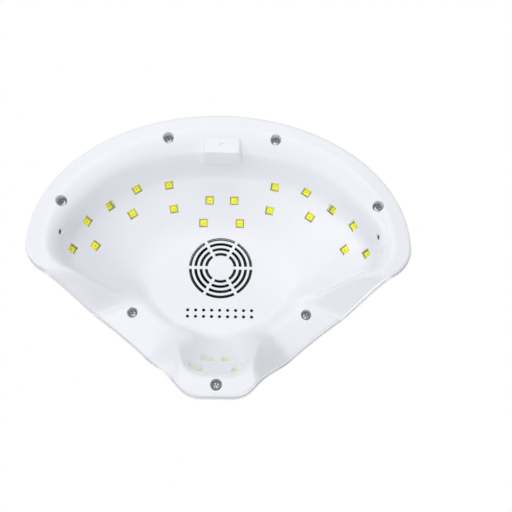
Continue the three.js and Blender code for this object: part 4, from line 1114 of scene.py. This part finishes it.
def slot_ring_tree():
    """A ring of arc-shaped slots whose ends stay parallel to the spokes between them."""
    tree, given = new_tree("ring of slots", Radius="Float", Slot="Float", Spoke="Float",
                           Height="Float", Spokes="Int", Finish="Material")
    whole = FULL / given["Spokes"]
    trim = whole.math("ARCSINE", given["Spoke"] / given["Radius"] * 0.5)
    slot = node(tree, "GeometryNodeCurveArc", None, Resolution=25, Radius=given["Radius"],
                Start_Angle=trim, Sweep_Angle=whole - trim * 2)
    profile = node(tree, "GeometryNodeCurvePrimitiveQuadrilateral", None,
                   Width=given["Slot"], Height=given["Height"])
    swept = node(tree, "GeometryNodeCurveToMesh", None, Curve=slot, Profile_Curve=profile,
                 Fill_Caps=True)
    points = node(tree, "GeometryNodeMeshLine", None, Count=given["Spokes"], Offset=(0, 0, 0))
    spin = node(tree, "ShaderNodeCombineXYZ", None,
                Z=node(tree, "GeometryNodeInputIndex") * whole)
    each = node(tree, "GeometryNodeInstanceOnPoints", None, Points=points, Instance=swept,
                Rotation=spin)
    return end_tree(tree, each, given["Finish"])


def vent_tree():
    """A grid of upright bars that cuts a grid of round holes."""
    tree, given = new_tree("grid of vents", Columns="Int", Rows="Int", Width="Float",
                           Depth="Float", Radius="Float", Height="Float", Finish="Material")
    grid = node(tree, "GeometryNodeMeshGrid", None, Size_X=given["Width"],
                Size_Y=given["Depth"], Vertices_X=given["Columns"], Vertices_Y=given["Rows"])
    hole = node(tree, "GeometryNodeMeshCylinder", None, Vertices=28, Radius=given["Radius"],
                Depth=given["Height"])
    each = node(tree, "GeometryNodeInstanceOnPoints", None, Points=grid, Instance=hole)
    return end_tree(tree, each, given["Finish"])

# %% Cut the moulding


def cut_through(name, tree, y, **values):
    """Cut the ceiling, at a place in front of or behind the middle, with what a tree makes."""
    tool = grown(linked(name, bpy.data.meshes.new(name)), tree, Height=THROUGH * MM, **values)
    tool.data.transform(translation(0, y * MM, (CHAMBER_HEIGHT + WALL / 2) * MM))
    turn_outwards(tool.data)
    combine(inner_shell, tool, "DIFFERENCE")


slot_tree = slot_ring_tree()
for radius in GRILLE_RADII:
    cut_through("slots", slot_tree, FAN_Y, Radius=float(radius) * MM, Slot=SLOT * MM,
                Spoke=SPOKE * MM, Spokes=SPOKES)
cut_through("vents", vent_tree(), FIRST_VENT_Y - VENT_Y / 2, Columns=VENT_COLUMNS,
            Rows=VENT_ROWS, Width=(VENT_COLUMNS - 1) * VENT_X * MM, Depth=VENT_Y * MM,
            Radius=VENT_RADIUS * MM)
combine(inner_shell, cutter, "DIFFERENCE")
print("chamber moulding:", len(inner_shell.data.polygons), "faces")

# %% Finish a fine moulding
CREASE = math.radians(32)


def stands_for(made, nodes, body="housing"):
    """Hide the measured nodes that a piece stands for, and hang it on the body it rides on."""
    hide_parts(*nodes)
    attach(made, body)


def shaded(made, finish=None):
    """Shade smooth, with creases at the sharp edges, in one finish if it is given."""
    if finish:
        made.data.materials.clear()
        made.data.materials.append(finish)
    for face in made.data.polygons:
        face.use_smooth = True
        if finish:
            face.material_index = 0
    made.data.set_sharp_from_angle(angle=CREASE)
    return made


def settle(made, finish, node_name, body="housing"):
    """Finish a piece that stands for one node.

    The normals are weighted by area, so that a flat face stays flat up to its edge.
    """
    shaded(made, finish)
    evener = made.modifiers.new("even", "WEIGHTED_NORMAL")
    evener.mode, evener.keep_sharp = "FACE_AREA", True
    bake(made)
    stands_for(made, [node_name], body)


settle(inner_shell, CHAMBER_WHITE, "inner_shell")

# %% [markdown]
# ## The cover
#
# The cover is one smooth dome that leans in towards a flat, slightly tilted control panel. The
# photograph doesn't show it, so it keeps to what such lamps have: a smoked display window, four
# round buttons in front of it and the socket's hole at the back.

# %% Cut the cover
PANEL = translation(0, PANEL_Y, LAMP_HEIGHT) @ Matrix.Rotation(PANEL_TILT, 4, "X")
LENS_WIDTH, LENS_DEPTH, LENS_Y, LENS_THICK = 39.3, 18.3, 6.0, 1.1
LENS_CORNER, LENS_HOLE_CORNER, LENS_LEDGE = 2.4, 1.2, 2.6
KEY_RADIUS, KEY_PITCH, KEY_Y, KEY_COUNT = 5.2, 15.0, -15.0, 4
BOARD_TOP, BOARD_THICK, BOARD_BOSS, BOARD_PILOT, SOCKET_HOLE = -9.2, 1.6, 2.8, 1.45, 4.15
COVER_MID_KNOTS = [0, 2.0, 3.2, 4.0, 4.8, 5.8, 7.2, COVER_KNOTS]
key_places = [(i - (KEY_COUNT - 1) / 2) * KEY_PITCH for i in range(KEY_COUNT)]
board_fixings = [(flip * 34, y) for flip in (1, -1) for y in (-17, 14)]
lens_at = PANEL @ translation(0, LENS_Y, 0)

mid_wall = open_ended([ring_points(cover_table, k, -WALL / 2) for k in COVER_MID_KNOTS], 0)
under = between("under_cover", mid_wall, 0, middle_z - WALL / 2)
bosses = Solids()
for x, y, seat, top in case_screws:
    bosses.bar(top + SEAM, 2 * LAMP_HEIGHT, BOSS, translation(x, y, 0), sides=32)
for x, y in board_fixings:
    bosses.bar(BOARD_TOP + SEAM, 0, BOARD_BOSS, PANEL @ translation(x, y, 0), sides=24)
boss = bosses.object("bosses")
combine(boss, under, "INTERSECT")
combine(top_cover, boss, "UNION")

cutters = Solids()
cutters.prism(rounded(LENS_WIDTH + 2 * SEAM, LENS_DEPTH + 2 * SEAM, LENS_CORNER + SEAM),
              -LENS_THICK - SEAM, 1, lens_at)
cutters.prism(rounded(LENS_WIDTH - 2 * LENS_LEDGE, LENS_DEPTH - 2 * LENS_LEDGE, LENS_HOLE_CORNER),
              -WALL - 1, 1, lens_at)
for x in key_places:
    cutters.bar(-WALL - 1, 1, KEY_RADIUS + SEAM, PANEL @ translation(x, KEY_Y, 0), sides=72)
for x, y, seat, top in case_screws:
    cutters.bar(top, top + SEAM + SCREW_BITE + 2, PILOT, translation(x, y, 0), sides=20)
for x, y in board_fixings:
    cutters.bar(BOARD_TOP, -WALL, BOARD_PILOT, PANEL @ translation(x, y, 0), sides=16)
facing_back = translation(0, JACK_END, JACK_Z) @ POINTING_BACK
cutters.bar(-2 * WALL, WALL, SOCKET_HOLE, facing_back, sides=64)
combine(top_cover, cutters.object("cover_cutters"), "DIFFERENCE")
settle(top_cover, COVER_WHITE, "top_cover")
print("cover:", len(top_cover.data.polygons), "faces")

# %% [markdown]
# ## Finishes of the small parts
#
# Each of these varies in at least two ways at once: a mottled colour with uneven gloss, scratches
# that stretch along one axis, or the windings' fine ridges. The LEDs are unlit, so the phosphor's
# weak yellow emission is a painted glow, which keeps them bright in the shade of their windows.

# %% Finishes of the lights and screws


def phosphor():
    f = Finish("phosphor")
    grain = f.noise(0.35, 3)
    colour = f.blend(f.noise(2.2) * 0.6 + grain * 0.4, rgb(0.90, 0.87, 0.02), rgb(0.98, 0.98, 0.06))
    # Painted glow: a weak yellow emission that keeps the unlit LEDs bright in the shade of their
    # windows.
    painted_glow = f.blend(grain, rgb(0.80, 0.76, 0.01), rgb(1.0, 0.98, 0.03))
    return f.surface(Base_Color=colour, Roughness=0.3 + grain * 0.2,
                     Normal=f.bump(grain, 0.02, 0.4), Coat_Weight=0.3, Coat_Roughness=0.12,
                     Emission_Color=painted_glow, Emission_Strength=0.16)


def chip_under_silicone():
    f = Finish("chip under silicone")
    colour = f.blend(f.noise(0.3), rgb(0.26, 0.25, 0.012), rgb(0.42, 0.40, 0.03))
    return f.surface(Base_Color=colour, Roughness=0.2 + f.noise(0.8) * 0.15, Coat_Weight=0.6)


def ceramic():
    f = Finish("white ceramic")
    return f.surface(Base_Color=f.blend(f.noise(1.5), rgb(0.74, 0.73, 0.36), rgb(0.86, 0.86, 0.52)),
                     Roughness=0.45 + f.noise(0.6) * 0.2)


def shade_darkened_zinc():
    f = Finish("zinc plate")
    blotches, scratches = f.noise(2.5, 3), f.noise(0.5, 3, stretch=(1, 1, 7))
    # Darker than bright zinc: partly the real plating, partly painted shade for the heads that sit
    # deep in their wells.
    colour = f.blend(blotches, rgb(0.28, 0.28, 0.28), rgb(0.44, 0.44, 0.43))
    return f.surface(Base_Color=colour, Metallic=0.85 + blotches * 0.1,
                     Roughness=0.28 + scratches * 0.16, Normal=f.bump(scratches, 0.006, 0.4))

# %% Blacks, boards, wire, glass and print


def moulded_black(name, low, high, gloss):
    """Black plastic with the fine grain of an eroded mould."""
    f = Finish(name)
    grain, cloud = f.noise(0.28, 2), f.noise(7, 3)
    colour = f.blend(cloud, rgb(low, low, low * 1.1), rgb(high, high, high * 1.05))
    return f.surface(Base_Color=colour, Roughness=gloss + cloud * 0.2,
                     Normal=f.bump(grain, 0.03, 0.5))


def solder_mask(name, low, high):
    """A board's lacquer, with the faint relief of the tracks under it."""
    f = Finish(name)
    tracks = f.node("ShaderNodeTexBrick", {"offset": 0.5}, Vector=f.place, Color1=rgb(0, 0, 0),
                    Color2=rgb(0.25, 0.25, 0.25), Mortar=rgb(1, 1, 1), Scale=1.0,
                    Mortar_Size=0.35 * MM, Brick_Width=6.2 * MM, Row_Height=2.4 * MM,
                    output="Color")
    colour = f.blend(f.noise(5, 3) * 0.5 + tracks * 0.5, low, high)
    return f.surface(Base_Color=colour, Roughness=0.28 + f.noise(3) * 0.2,
                     Normal=f.bump(tracks, 0.03, 0.6))


def enamelled_wire():
    f = Finish("enamelled wire")
    turns = f.node("ShaderNodeTexWave", {"bands_direction": "Z"}, f.place, 2 / (2.2 * MM), 0.4,
                   output="Fac")
    colour = f.blend(turns, rgb(0.22, 0.07, 0.02), rgb(0.62, 0.26, 0.09))
    return f.surface(Base_Color=colour, Metallic=0.9, Roughness=0.22 + f.noise(1.2) * 0.25,
                     Normal=f.bump(turns, 0.12, 0.8))


def smoked_acrylic():
    f = Finish("smoked acrylic")
    haze = f.noise(12, 3)
    return f.surface(Base_Color=f.blend(haze, rgb(0.010, 0.011, 0.013), rgb(0.022, 0.024, 0.028)),
                     Roughness=0.04 + haze * 0.06, Alpha=0.62 + haze * 0.1, Coat_Weight=0.6,
                     IOR=1.49)


def key_plastic():
    f = Finish("key grey")
    cloud, grain = f.noise(6, 3), f.noise(0.3, 2)
    return f.surface(Base_Color=f.blend(cloud, rgb(0.56, 0.57, 0.60), rgb(0.66, 0.67, 0.70)),
                     Roughness=0.34 + cloud * 0.14, Normal=f.bump(grain, 0.02, 0.4))


def print_ink(name, colour):
    f = Finish(name)
    dust = f.noise(0.7, 3)
    darker = rgb(*[v * 0.7 for v in colour])
    return f.surface(Base_Color=f.blend(dust, darker, rgb(*colour)),
                     Roughness=0.4 + dust * 0.2)

# %% Make the finishes
PHOSPHOR, CHIP, CERAMIC = phosphor(), chip_under_silicone(), ceramic()
SHADE_DARKENED_ZINC, WIRE, SMOKED, KEY_GREY = shade_darkened_zinc(), enamelled_wire(), smoked_acrylic(), key_plastic()
FAN_BLACK = moulded_black("fan black", 0.012, 0.03, 0.38)
BLACK = moulded_black("black plastic", 0.014, 0.034, 0.3)
SENSOR_BLACK = moulded_black("infrared lens", 0.06, 0.10, 0.12)
BOARD_WHITE = solder_mask("white solder mask", rgb(0.66, 0.67, 0.64), rgb(0.80, 0.81, 0.78))
BOARD_GREEN = solder_mask("green solder mask", rgb(0.008, 0.07, 0.025), rgb(0.02, 0.16, 0.06))
KEY_INK = print_ink("key ink", (0.06, 0.065, 0.075))
SEGMENT = print_ink("unlit segment", (0.16, 0.16, 0.15))
print("finishes so far:", len(bpy.data.materials))

# %% [markdown]
# ## The lights
#
# An LED is a square ceramic cup with a yellow phosphor field, a low dome of silicone and the
# dark chip that shows through its crown. Each of the four forms is made once and repeated at
# all 24 places by the tree, then the four are joined into one piece.

# %% Twenty-four LEDs
LED_SIZE, LED_BASE, LED_FIELD = 5.0, 0.9, 4.8
DOME_RADIUS, DOME_HEIGHT, DOME_TURN, CHIP_RADIUS = 2.1, 1.5, 1.27, 0.5


def merged(name, *objects):
    """Several plain meshes as one object, each part with its own material."""
    with bpy.context.temp_override(active_object=objects[0],
                                   selected_editable_objects=list(objects)):
        bpy.ops.object.join()
    objects[0].name = name
    return objects[0]


def led_forms():
    """The four forms of an LED that faces up from zero, each with its finish."""
    cup = Solids().prism(rounded(LED_SIZE, LED_SIZE, 0.25, 3), 0, LED_BASE).object("cup")
    well = rounded(LED_FIELD, LED_FIELD, 0.5, 3)
    combine(cup, Solids().prism(well, LED_BASE - 0.3, LED_BASE + 1).object("well"), "DIFFERENCE")
    inner = rounded(LED_FIELD - 0.06, LED_FIELD - 0.06, 0.5, 4)
    field = Solids().prism(inner, LED_BASE - 0.28, LED_BASE - 0.03).object("field")
    crown = [(DOME_RADIUS * math.cos(t), LED_BASE + DOME_HEIGHT * math.sin(t))
             for t in np.linspace(0, DOME_TURN, 9)]
    crown_top, chip_top = crown[-1][1], LED_BASE + DOME_HEIGHT
    dome = Solids().lathe([(0, LED_BASE - 0.1), (DOME_RADIUS, LED_BASE - 0.1)] + crown
                          + [(0, crown_top)], 36).object("dome")
    chip = Solids().lathe([(0, crown_top + 0.01), (CHIP_RADIUS, crown_top + 0.01),
                           (CHIP_RADIUS * 0.8, chip_top - 0.02), (0, chip_top)], 24).object("chip")
    return [(cup, CERAMIC), (field, PHOSPHOR), (dome, PHOSPHOR), (chip, CHIP)]


facing_down = translation(0, 0, -SEAM) @ UPSIDE_DOWN
led_places = [place @ facing_down for name in boards for place, _ in led_frames(name)]
leds = merged("lights", *[repeated(form.name + "s", form, led_places, finish)
                          for form, finish in led_forms()])
stands_for(shaded(leds), [f"led_{name}_{i}" for name in boards for i in (1, 2, 3, 4)])
print("LEDs:", len(led_places), "places,", len(leds.data.polygons), "faces")

# %% [markdown]
# ## Screws
#
# All the screws are the same pattern: a pan head with a tapered cross recess and a coarse
# thread. The head is turned on a lathe of points, the recess is cut, and one tree repeats it.

# %% Cross-recess screws
SCREW_HEAD, SCREW_HEIGHT, SCREW_SHANK, THREAD_PITCH = 2.75, 2.1, 1.25, 0.55
DRIVER_TURNS = [17, 62, 35, 80, 5, 48, 71]


def screw_piece(name, head, height, shank, length):
    """A screw whose head hangs below zero, its recess cut from underneath."""
    profile = [(0, -height)]
    profile += [(head * math.sin(t), -height + head * 0.28 * (1 - math.cos(t)))
                for t in np.linspace(0.2, 1.45, 8)]
    profile += [(head, -height * 0.35), (head - 0.12, 0), (shank, 0)]
    z = 0.5
    while z + THREAD_PITCH < length - shank:
        profile += [(shank * 0.8, z), (shank, z + THREAD_PITCH / 2)]
        z += THREAD_PITCH
    profile += [(shank * 0.8, length - shank), (0, length)]
    screw = Solids().lathe(profile, 32).object(name)
    long, tip, wide = head * 0.56, head * 0.26, head * 0.13
    mouth = [(-long, -wide), (long, -wide), (long, wide), (-long, wide)]
    floor = [(x / long * tip, y * 0.8) for x, y in mouth]
    cross = Solids()
    for angle in (0, 90):
        cross.stack([(mouth, -height - 0.1), (floor, -height * 0.3)], turned(angle))
    combine(screw, cross.object("cross"), "DIFFERENCE")
    return screw


def screws(name, piece, places, nodes):
    """Repeat a screw, each turned as a driver happened to leave it."""
    places = [place @ turned(DRIVER_TURNS[i % 7]) for i, place in enumerate(places)]
    made = shaded(repeated(name, piece, places, SHADE_DARKENED_ZINC))
    stands_for(made, nodes)
    print(name, "x", len(places), len(made.data.polygons), "faces")


case_length = TOWER_FLOOR + 2 * SEAM + SCREW_BITE
screws("case_screws",
       screw_piece("case_screw", SCREW_HEAD, SCREW_HEIGHT, SCREW_SHANK, case_length),
       [translation(x, y, seat - SEAM) for x, y, seat, _ in case_screws],
       ["case_screw_pillar"] + [f"case_screw_{side}_{name}" for side in ("right", "left")
                                for name in ("rear", "side", "opening")])
fan_top = FAN_FOOT + FAN_DEPTH + 2 * SEAM
fan_length = fan_top - CHAMBER_HEIGHT - WALL / 2 - SEAM
screws("fan_screws", screw_piece("fan_screw", SCREW_HEAD, SCREW_HEIGHT, SCREW_SHANK, fan_length),
       [translation(*fan_holes[i], fan_top) @ UPSIDE_DOWN for i in (0, 2)],
       ["fan_screw_right_rear", "fan_screw_left_front"])
board_low = BOARD_TOP - BOARD_THICK - SEAM
screws("board_screws", screw_piece("board_screw", 2.2, 1.5, 1.1, -WALL - 2 * SEAM - board_low),
       [PANEL @ translation(x, y, board_low) for x, y in board_fixings],
       [f"board_screw_{i}" for i in (1, 2, 3, 4)])

# %% [markdown]
# ## The fan
#
# Behind the grille a flat fan turns. Its rotor is a cup with four broad blades, which twist and
# flatten towards their tips. It rides on its own body, so that it turns with the joint, and
# the frame and the windings in its cup keep the measured model's form.

# %% Sizes of the fan's rotor
HUB, SHAFT, ROTOR_LOW, ROTOR_HIGH = 0.542 * FAN_BORE, 1, 0.8, 7.8
SHAFT_END = FAN_DEPTH - 1.2 - SEAM
BLADES, BLADE_RADII = 4, [0.514, 0.707, 0.882]
BLADE_SPREADS, BLADE_RISES = [0.158, 0.267, 0.341], [0.43, 0.59, 0.55]
BLADE_THICK, BLADE_CAMBER, BLADE_TRIM = 0.425, 0.28, 0.98

# %% Blades and cup


def fan_blade(turn):
    """A cambered blade, lofted from the hub outwards."""
    middle, rings = (ROTOR_LOW + ROTOR_HIGH) / 2, []
    over_and_back = [(t, 1) for t in np.linspace(-1, 1, 11)]
    over_and_back += [(t, -1) for t in np.linspace(1, -1, 11)[1:-1]]
    for share in np.linspace(BLADE_RADII[0], BLADE_RADII[-1], 9):
        spread = np.interp(share, BLADE_RADII, BLADE_SPREADS) * FAN_BORE
        rise = np.interp(share, BLADE_RADII, BLADE_RISES) * (ROTOR_HIGH - ROTOR_LOW)
        length = math.hypot(spread, rise)
        ring = []
        for t, face in over_and_back:
            round_edge = math.sqrt(max(0.0, 1 - t * t))
            off = face * BLADE_THICK * round_edge + BLADE_CAMBER * (1 - t * t)
            ring.append((share * FAN_BORE, t * spread * BLADE_TRIM - off * rise / length,
                         middle + t * rise * BLADE_TRIM + off * spread / length))
        rings.append(np.array(ring))
    points, faces = loft(rings, *(tuple(r.mean(axis=0)) for r in (rings[0], rings[-1])))
    return placed(points, turned(turn)), faces


rotor = Solids()
rotor.lathe([(0, ROTOR_LOW), (HUB - 0.7, ROTOR_LOW), (HUB - 0.2, ROTOR_LOW + 0.2),
             (HUB, ROTOR_LOW + 0.7), (HUB, ROTOR_HIGH), (HUB - 0.9, ROTOR_HIGH),
             (HUB - 0.9, ROTOR_LOW + 1), (SHAFT, ROTOR_LOW + 1), (SHAFT, SHAFT_END),
             (0, SHAFT_END)], 72)
for i in range(BLADES):
    rotor.add(*fan_blade(360 / BLADES * i))
rotor = rotor.object("rotor")
rotor.data.transform(translation(0, FAN_Y * MM, (FAN_FOOT + SEAM) * MM))
settle(rotor, FAN_BLACK, "fan_rotor", body="fan_rotor")
print("rotor:", len(rotor.data.polygons), "faces")

# %% [markdown]
# ## Socket, sensors and the control panel
#
# The power socket is a block with a round mouth and a metal pin. The panel carries a smoked
# window with three unlit digits behind it, and four round keys. The keys are marked with
# their times in seconds, as plain numbers, and each rides on its own body.

# %% Socket and sensors
BARREL, BORE, BORE_MOUTH, BORE_DEPTH, PIN = 3.7, 2.75, 3.05, 9, 1
jack_body_end = cover_back(JACK_Z + JACK_HEIGHT / 2) - WALL - 2 * SEAM
socket = Solids().box((-JACK_HALF, JACK_FRONT, JACK_Z - JACK_HEIGHT / 2),
                      (JACK_HALF, jack_body_end, JACK_Z + JACK_HEIGHT / 2))
socket.bar(jack_body_end - 1 - JACK_END, -SEAM, BARREL, facing_back, sides=64)
socket = socket.object("socket")
hollow = Solids().lathe([(0, -BORE_DEPTH), (BORE, -BORE_DEPTH), (BORE, -SEAM - 0.3),
                         (BORE_MOUTH, -SEAM), (BORE_MOUTH, 1), (0, 1)], 64, facing_back)
combine(socket, hollow.object("socket_bore"), "DIFFERENCE")
# The cut leaves an empty slot ahead of the black one, so the block shows in the default grey.
shaded(socket).data.materials.append(BLACK)
pin_low = 0.02 - BORE_DEPTH
pin = Solids().lathe([(0, pin_low), (PIN, pin_low), (PIN, -SEAM - 0.6), (0.6, -SEAM - 0.1),
                      (0, -SEAM - 0.1)], 32, facing_back)
socket = merged("power_socket", socket, shaded(pin.object("socket_pin"), SHADE_DARKENED_ZINC))
stands_for(socket, ["dc_jack"])

# Radii, and heights above the face, of the lens and of the collar behind it.
EYE_LENS = [(0, 0), (0.7, 0.08), (1.15, 0.35), (1.3, 0.8)]
EYE_COLLAR = [(1.3, WALL), (2.2, WALL), (2.2, WALL + 2), (0, WALL + 2)]
for side, matrix in zip(("right", "left"), sensors):
    eye = Solids().lathe([(r, z + SEAM) for r, z in EYE_LENS + EYE_COLLAR], 40, matrix)
    settle(eye.object(f"sensor_{side}"), SENSOR_BLACK, f"hand_sensor_{side}")
print("socket and sensors: 3 pieces")

# %% Display window
BEVEL = 0.25
MODULE_WIDTH, MODULE_DEPTH, MODULE_TOP = 33.0, 12.5, -WALL - SEAM
DIGIT_WIDTH, DIGIT_HEIGHT, DIGIT_PITCH, DIGIT_GAP = 4.6, 8.4, 8.0, 0.5
SEGMENT_WIDTH, SEGMENT_TIP, SEGMENT_DEPTH, SLANT = 0.95, 0.1, 0.2, 0.12

plate = rounded(LENS_WIDTH, LENS_DEPTH, LENS_CORNER)
narrowed = rounded(LENS_WIDTH - 2 * BEVEL, LENS_DEPTH - 2 * BEVEL, LENS_CORNER - BEVEL)
glass = Solids().prism(plate, -LENS_THICK, -BEVEL, lens_at)
glass.stack([(plate, -BEVEL - 0.05), (plate, -BEVEL), (narrowed, 0)], lens_at)
glass = glass.object("glass")
settle(glass, SMOKED, "display_lens")

# %% Three unlit digits


def segment(x, y, length, upright):
    """A six-sided bar of a digit, leaning to the right."""
    half, thick = length / 2, SEGMENT_WIDTH / 2
    tip = SEGMENT_TIP * length
    shape = [(-half, 0), (-half + tip, thick), (half - tip, thick), (half, 0),
             (half - tip, -thick), (-half + tip, -thick)]
    shape = [(-v, u) for u, v in shape] if upright else shape
    return [(x + u + SLANT * (y + v), y + v) for u, v in shape]


digits = Solids()
for i in (-1, 0, 1):
    x, w, h = i * DIGIT_PITCH, DIGIT_WIDTH / 2, DIGIT_HEIGHT / 2
    shapes = [segment(x, y, DIGIT_WIDTH - DIGIT_GAP, False) for y in (h, 0, -h)]
    shapes += [segment(x + side, y, h - DIGIT_GAP, True)
               for side in (-w, w) for y in (h / 2, -h / 2)]
    for shape in shapes:
        digits.prism(shape, MODULE_TOP - SEGMENT_DEPTH, MODULE_TOP, lens_at)
digits = digits.object("digits")
# Joining the bars leaves an empty slot ahead of this one, so they too show in the default grey.
digits.data.materials.append(SEGMENT)
case = Solids().prism(rounded(MODULE_WIDTH, MODULE_DEPTH, 0.4, 3), BOARD_TOP + SEAM,
                      MODULE_TOP - 0.05, lens_at).object("module")
module = merged("display", shaded(case, BLACK), digits)
stands_for(module, ["display_module"])
print("display:", len(glass.data.polygons) + len(module.data.polygons), "faces")

# %% Sizes of the keys
KEY_TIMES = ("10", "30", "60", "90")
KEY_RISE, KEY_ROUND, KEY_FLAT, KEY_DISH = 1.0, 0.5, 3.6, 0.12
KEY_FLANGE, KEY_FLANGE_HEIGHT, KEY_STEM = 6.4, 1.1, 1.5
SWITCH_HEIGHT, SWITCH_TRAVEL = 3.6, 0.6
NUMERAL_HEIGHT, NUMERAL_DEPTH, NUMERAL_WEIGHT, NUMERAL_SINK = 4.6, 0.03, 0.06, 0.06

# %% Numerals and keys


def numerals(text, matrix):
    """Plain numbers as a thin closed solid."""
    curve = bpy.data.curves.new(f"number_{text}", "FONT")
    curve.body, curve.size, curve.resolution_u = text, NUMERAL_HEIGHT * MM, 6
    curve.align_x, curve.align_y = "CENTER", "CENTER"
    curve.extrude, curve.offset = NUMERAL_DEPTH * MM, NUMERAL_WEIGHT * MM
    holder = linked(f"number_{text}", curve)
    mesh = plain_mesh(holder)
    bpy.data.objects.remove(holder)
    bpy.data.curves.remove(curve)
    moved = matrix.copy()
    moved.translation *= MM
    mesh.transform(moved)
    turn_outwards(mesh)
    mesh.materials.clear()
    mesh.materials.append(KEY_INK)
    return linked(f"number_{text}", mesh)


stem_low, foot_top = BOARD_TOP + SWITCH_HEIGHT - SWITCH_TRAVEL, -WALL - SEAM
foot_low = foot_top - KEY_FLANGE_HEIGHT
key_profile = [(0, stem_low), (KEY_STEM, stem_low), (KEY_STEM, foot_low), (KEY_FLANGE, foot_low),
               (KEY_FLANGE, foot_top), (KEY_RADIUS, foot_top)]
key_profile += [(KEY_RADIUS - KEY_ROUND * (1 - math.cos(t)),
                 KEY_RISE - KEY_ROUND * (1 - math.sin(t))) for t in np.linspace(0, math.pi / 2, 7)]
key_profile += [(KEY_FLAT, KEY_RISE - 0.02), (0, KEY_RISE - KEY_DISH)]
for i, (x, text) in enumerate(zip(key_places, KEY_TIMES), 1):
    place = PANEL @ translation(x, KEY_Y, 0)
    key = shaded(Solids().lathe(key_profile, 64, place).object(f"key_{i}"), KEY_GREY)
    marks = numerals(text, place @ translation(0, 0, KEY_RISE - NUMERAL_SINK))
    stands_for(merged(f"timer_key_{i}", key, marks), [f"timer_button_{i}"],
               body=f"timer_button_{i}")
print("keys:", ", ".join(KEY_TIMES))

# %% Finishes of the pieces kept from the measured model
KEPT = {"fan_frame": FAN_BLACK, "fan_stator": WIRE, "main_board": BOARD_GREEN, "buzzer": BLACK}
KEPT.update({f"led_board_{name}": BOARD_WHITE for name in boards})
for name, finish in KEPT.items():
    for slot in frame["nodes"][name].material_slots:
        slot.material = finish
print("kept pieces:", len(KEPT))

# %% Import json
import json
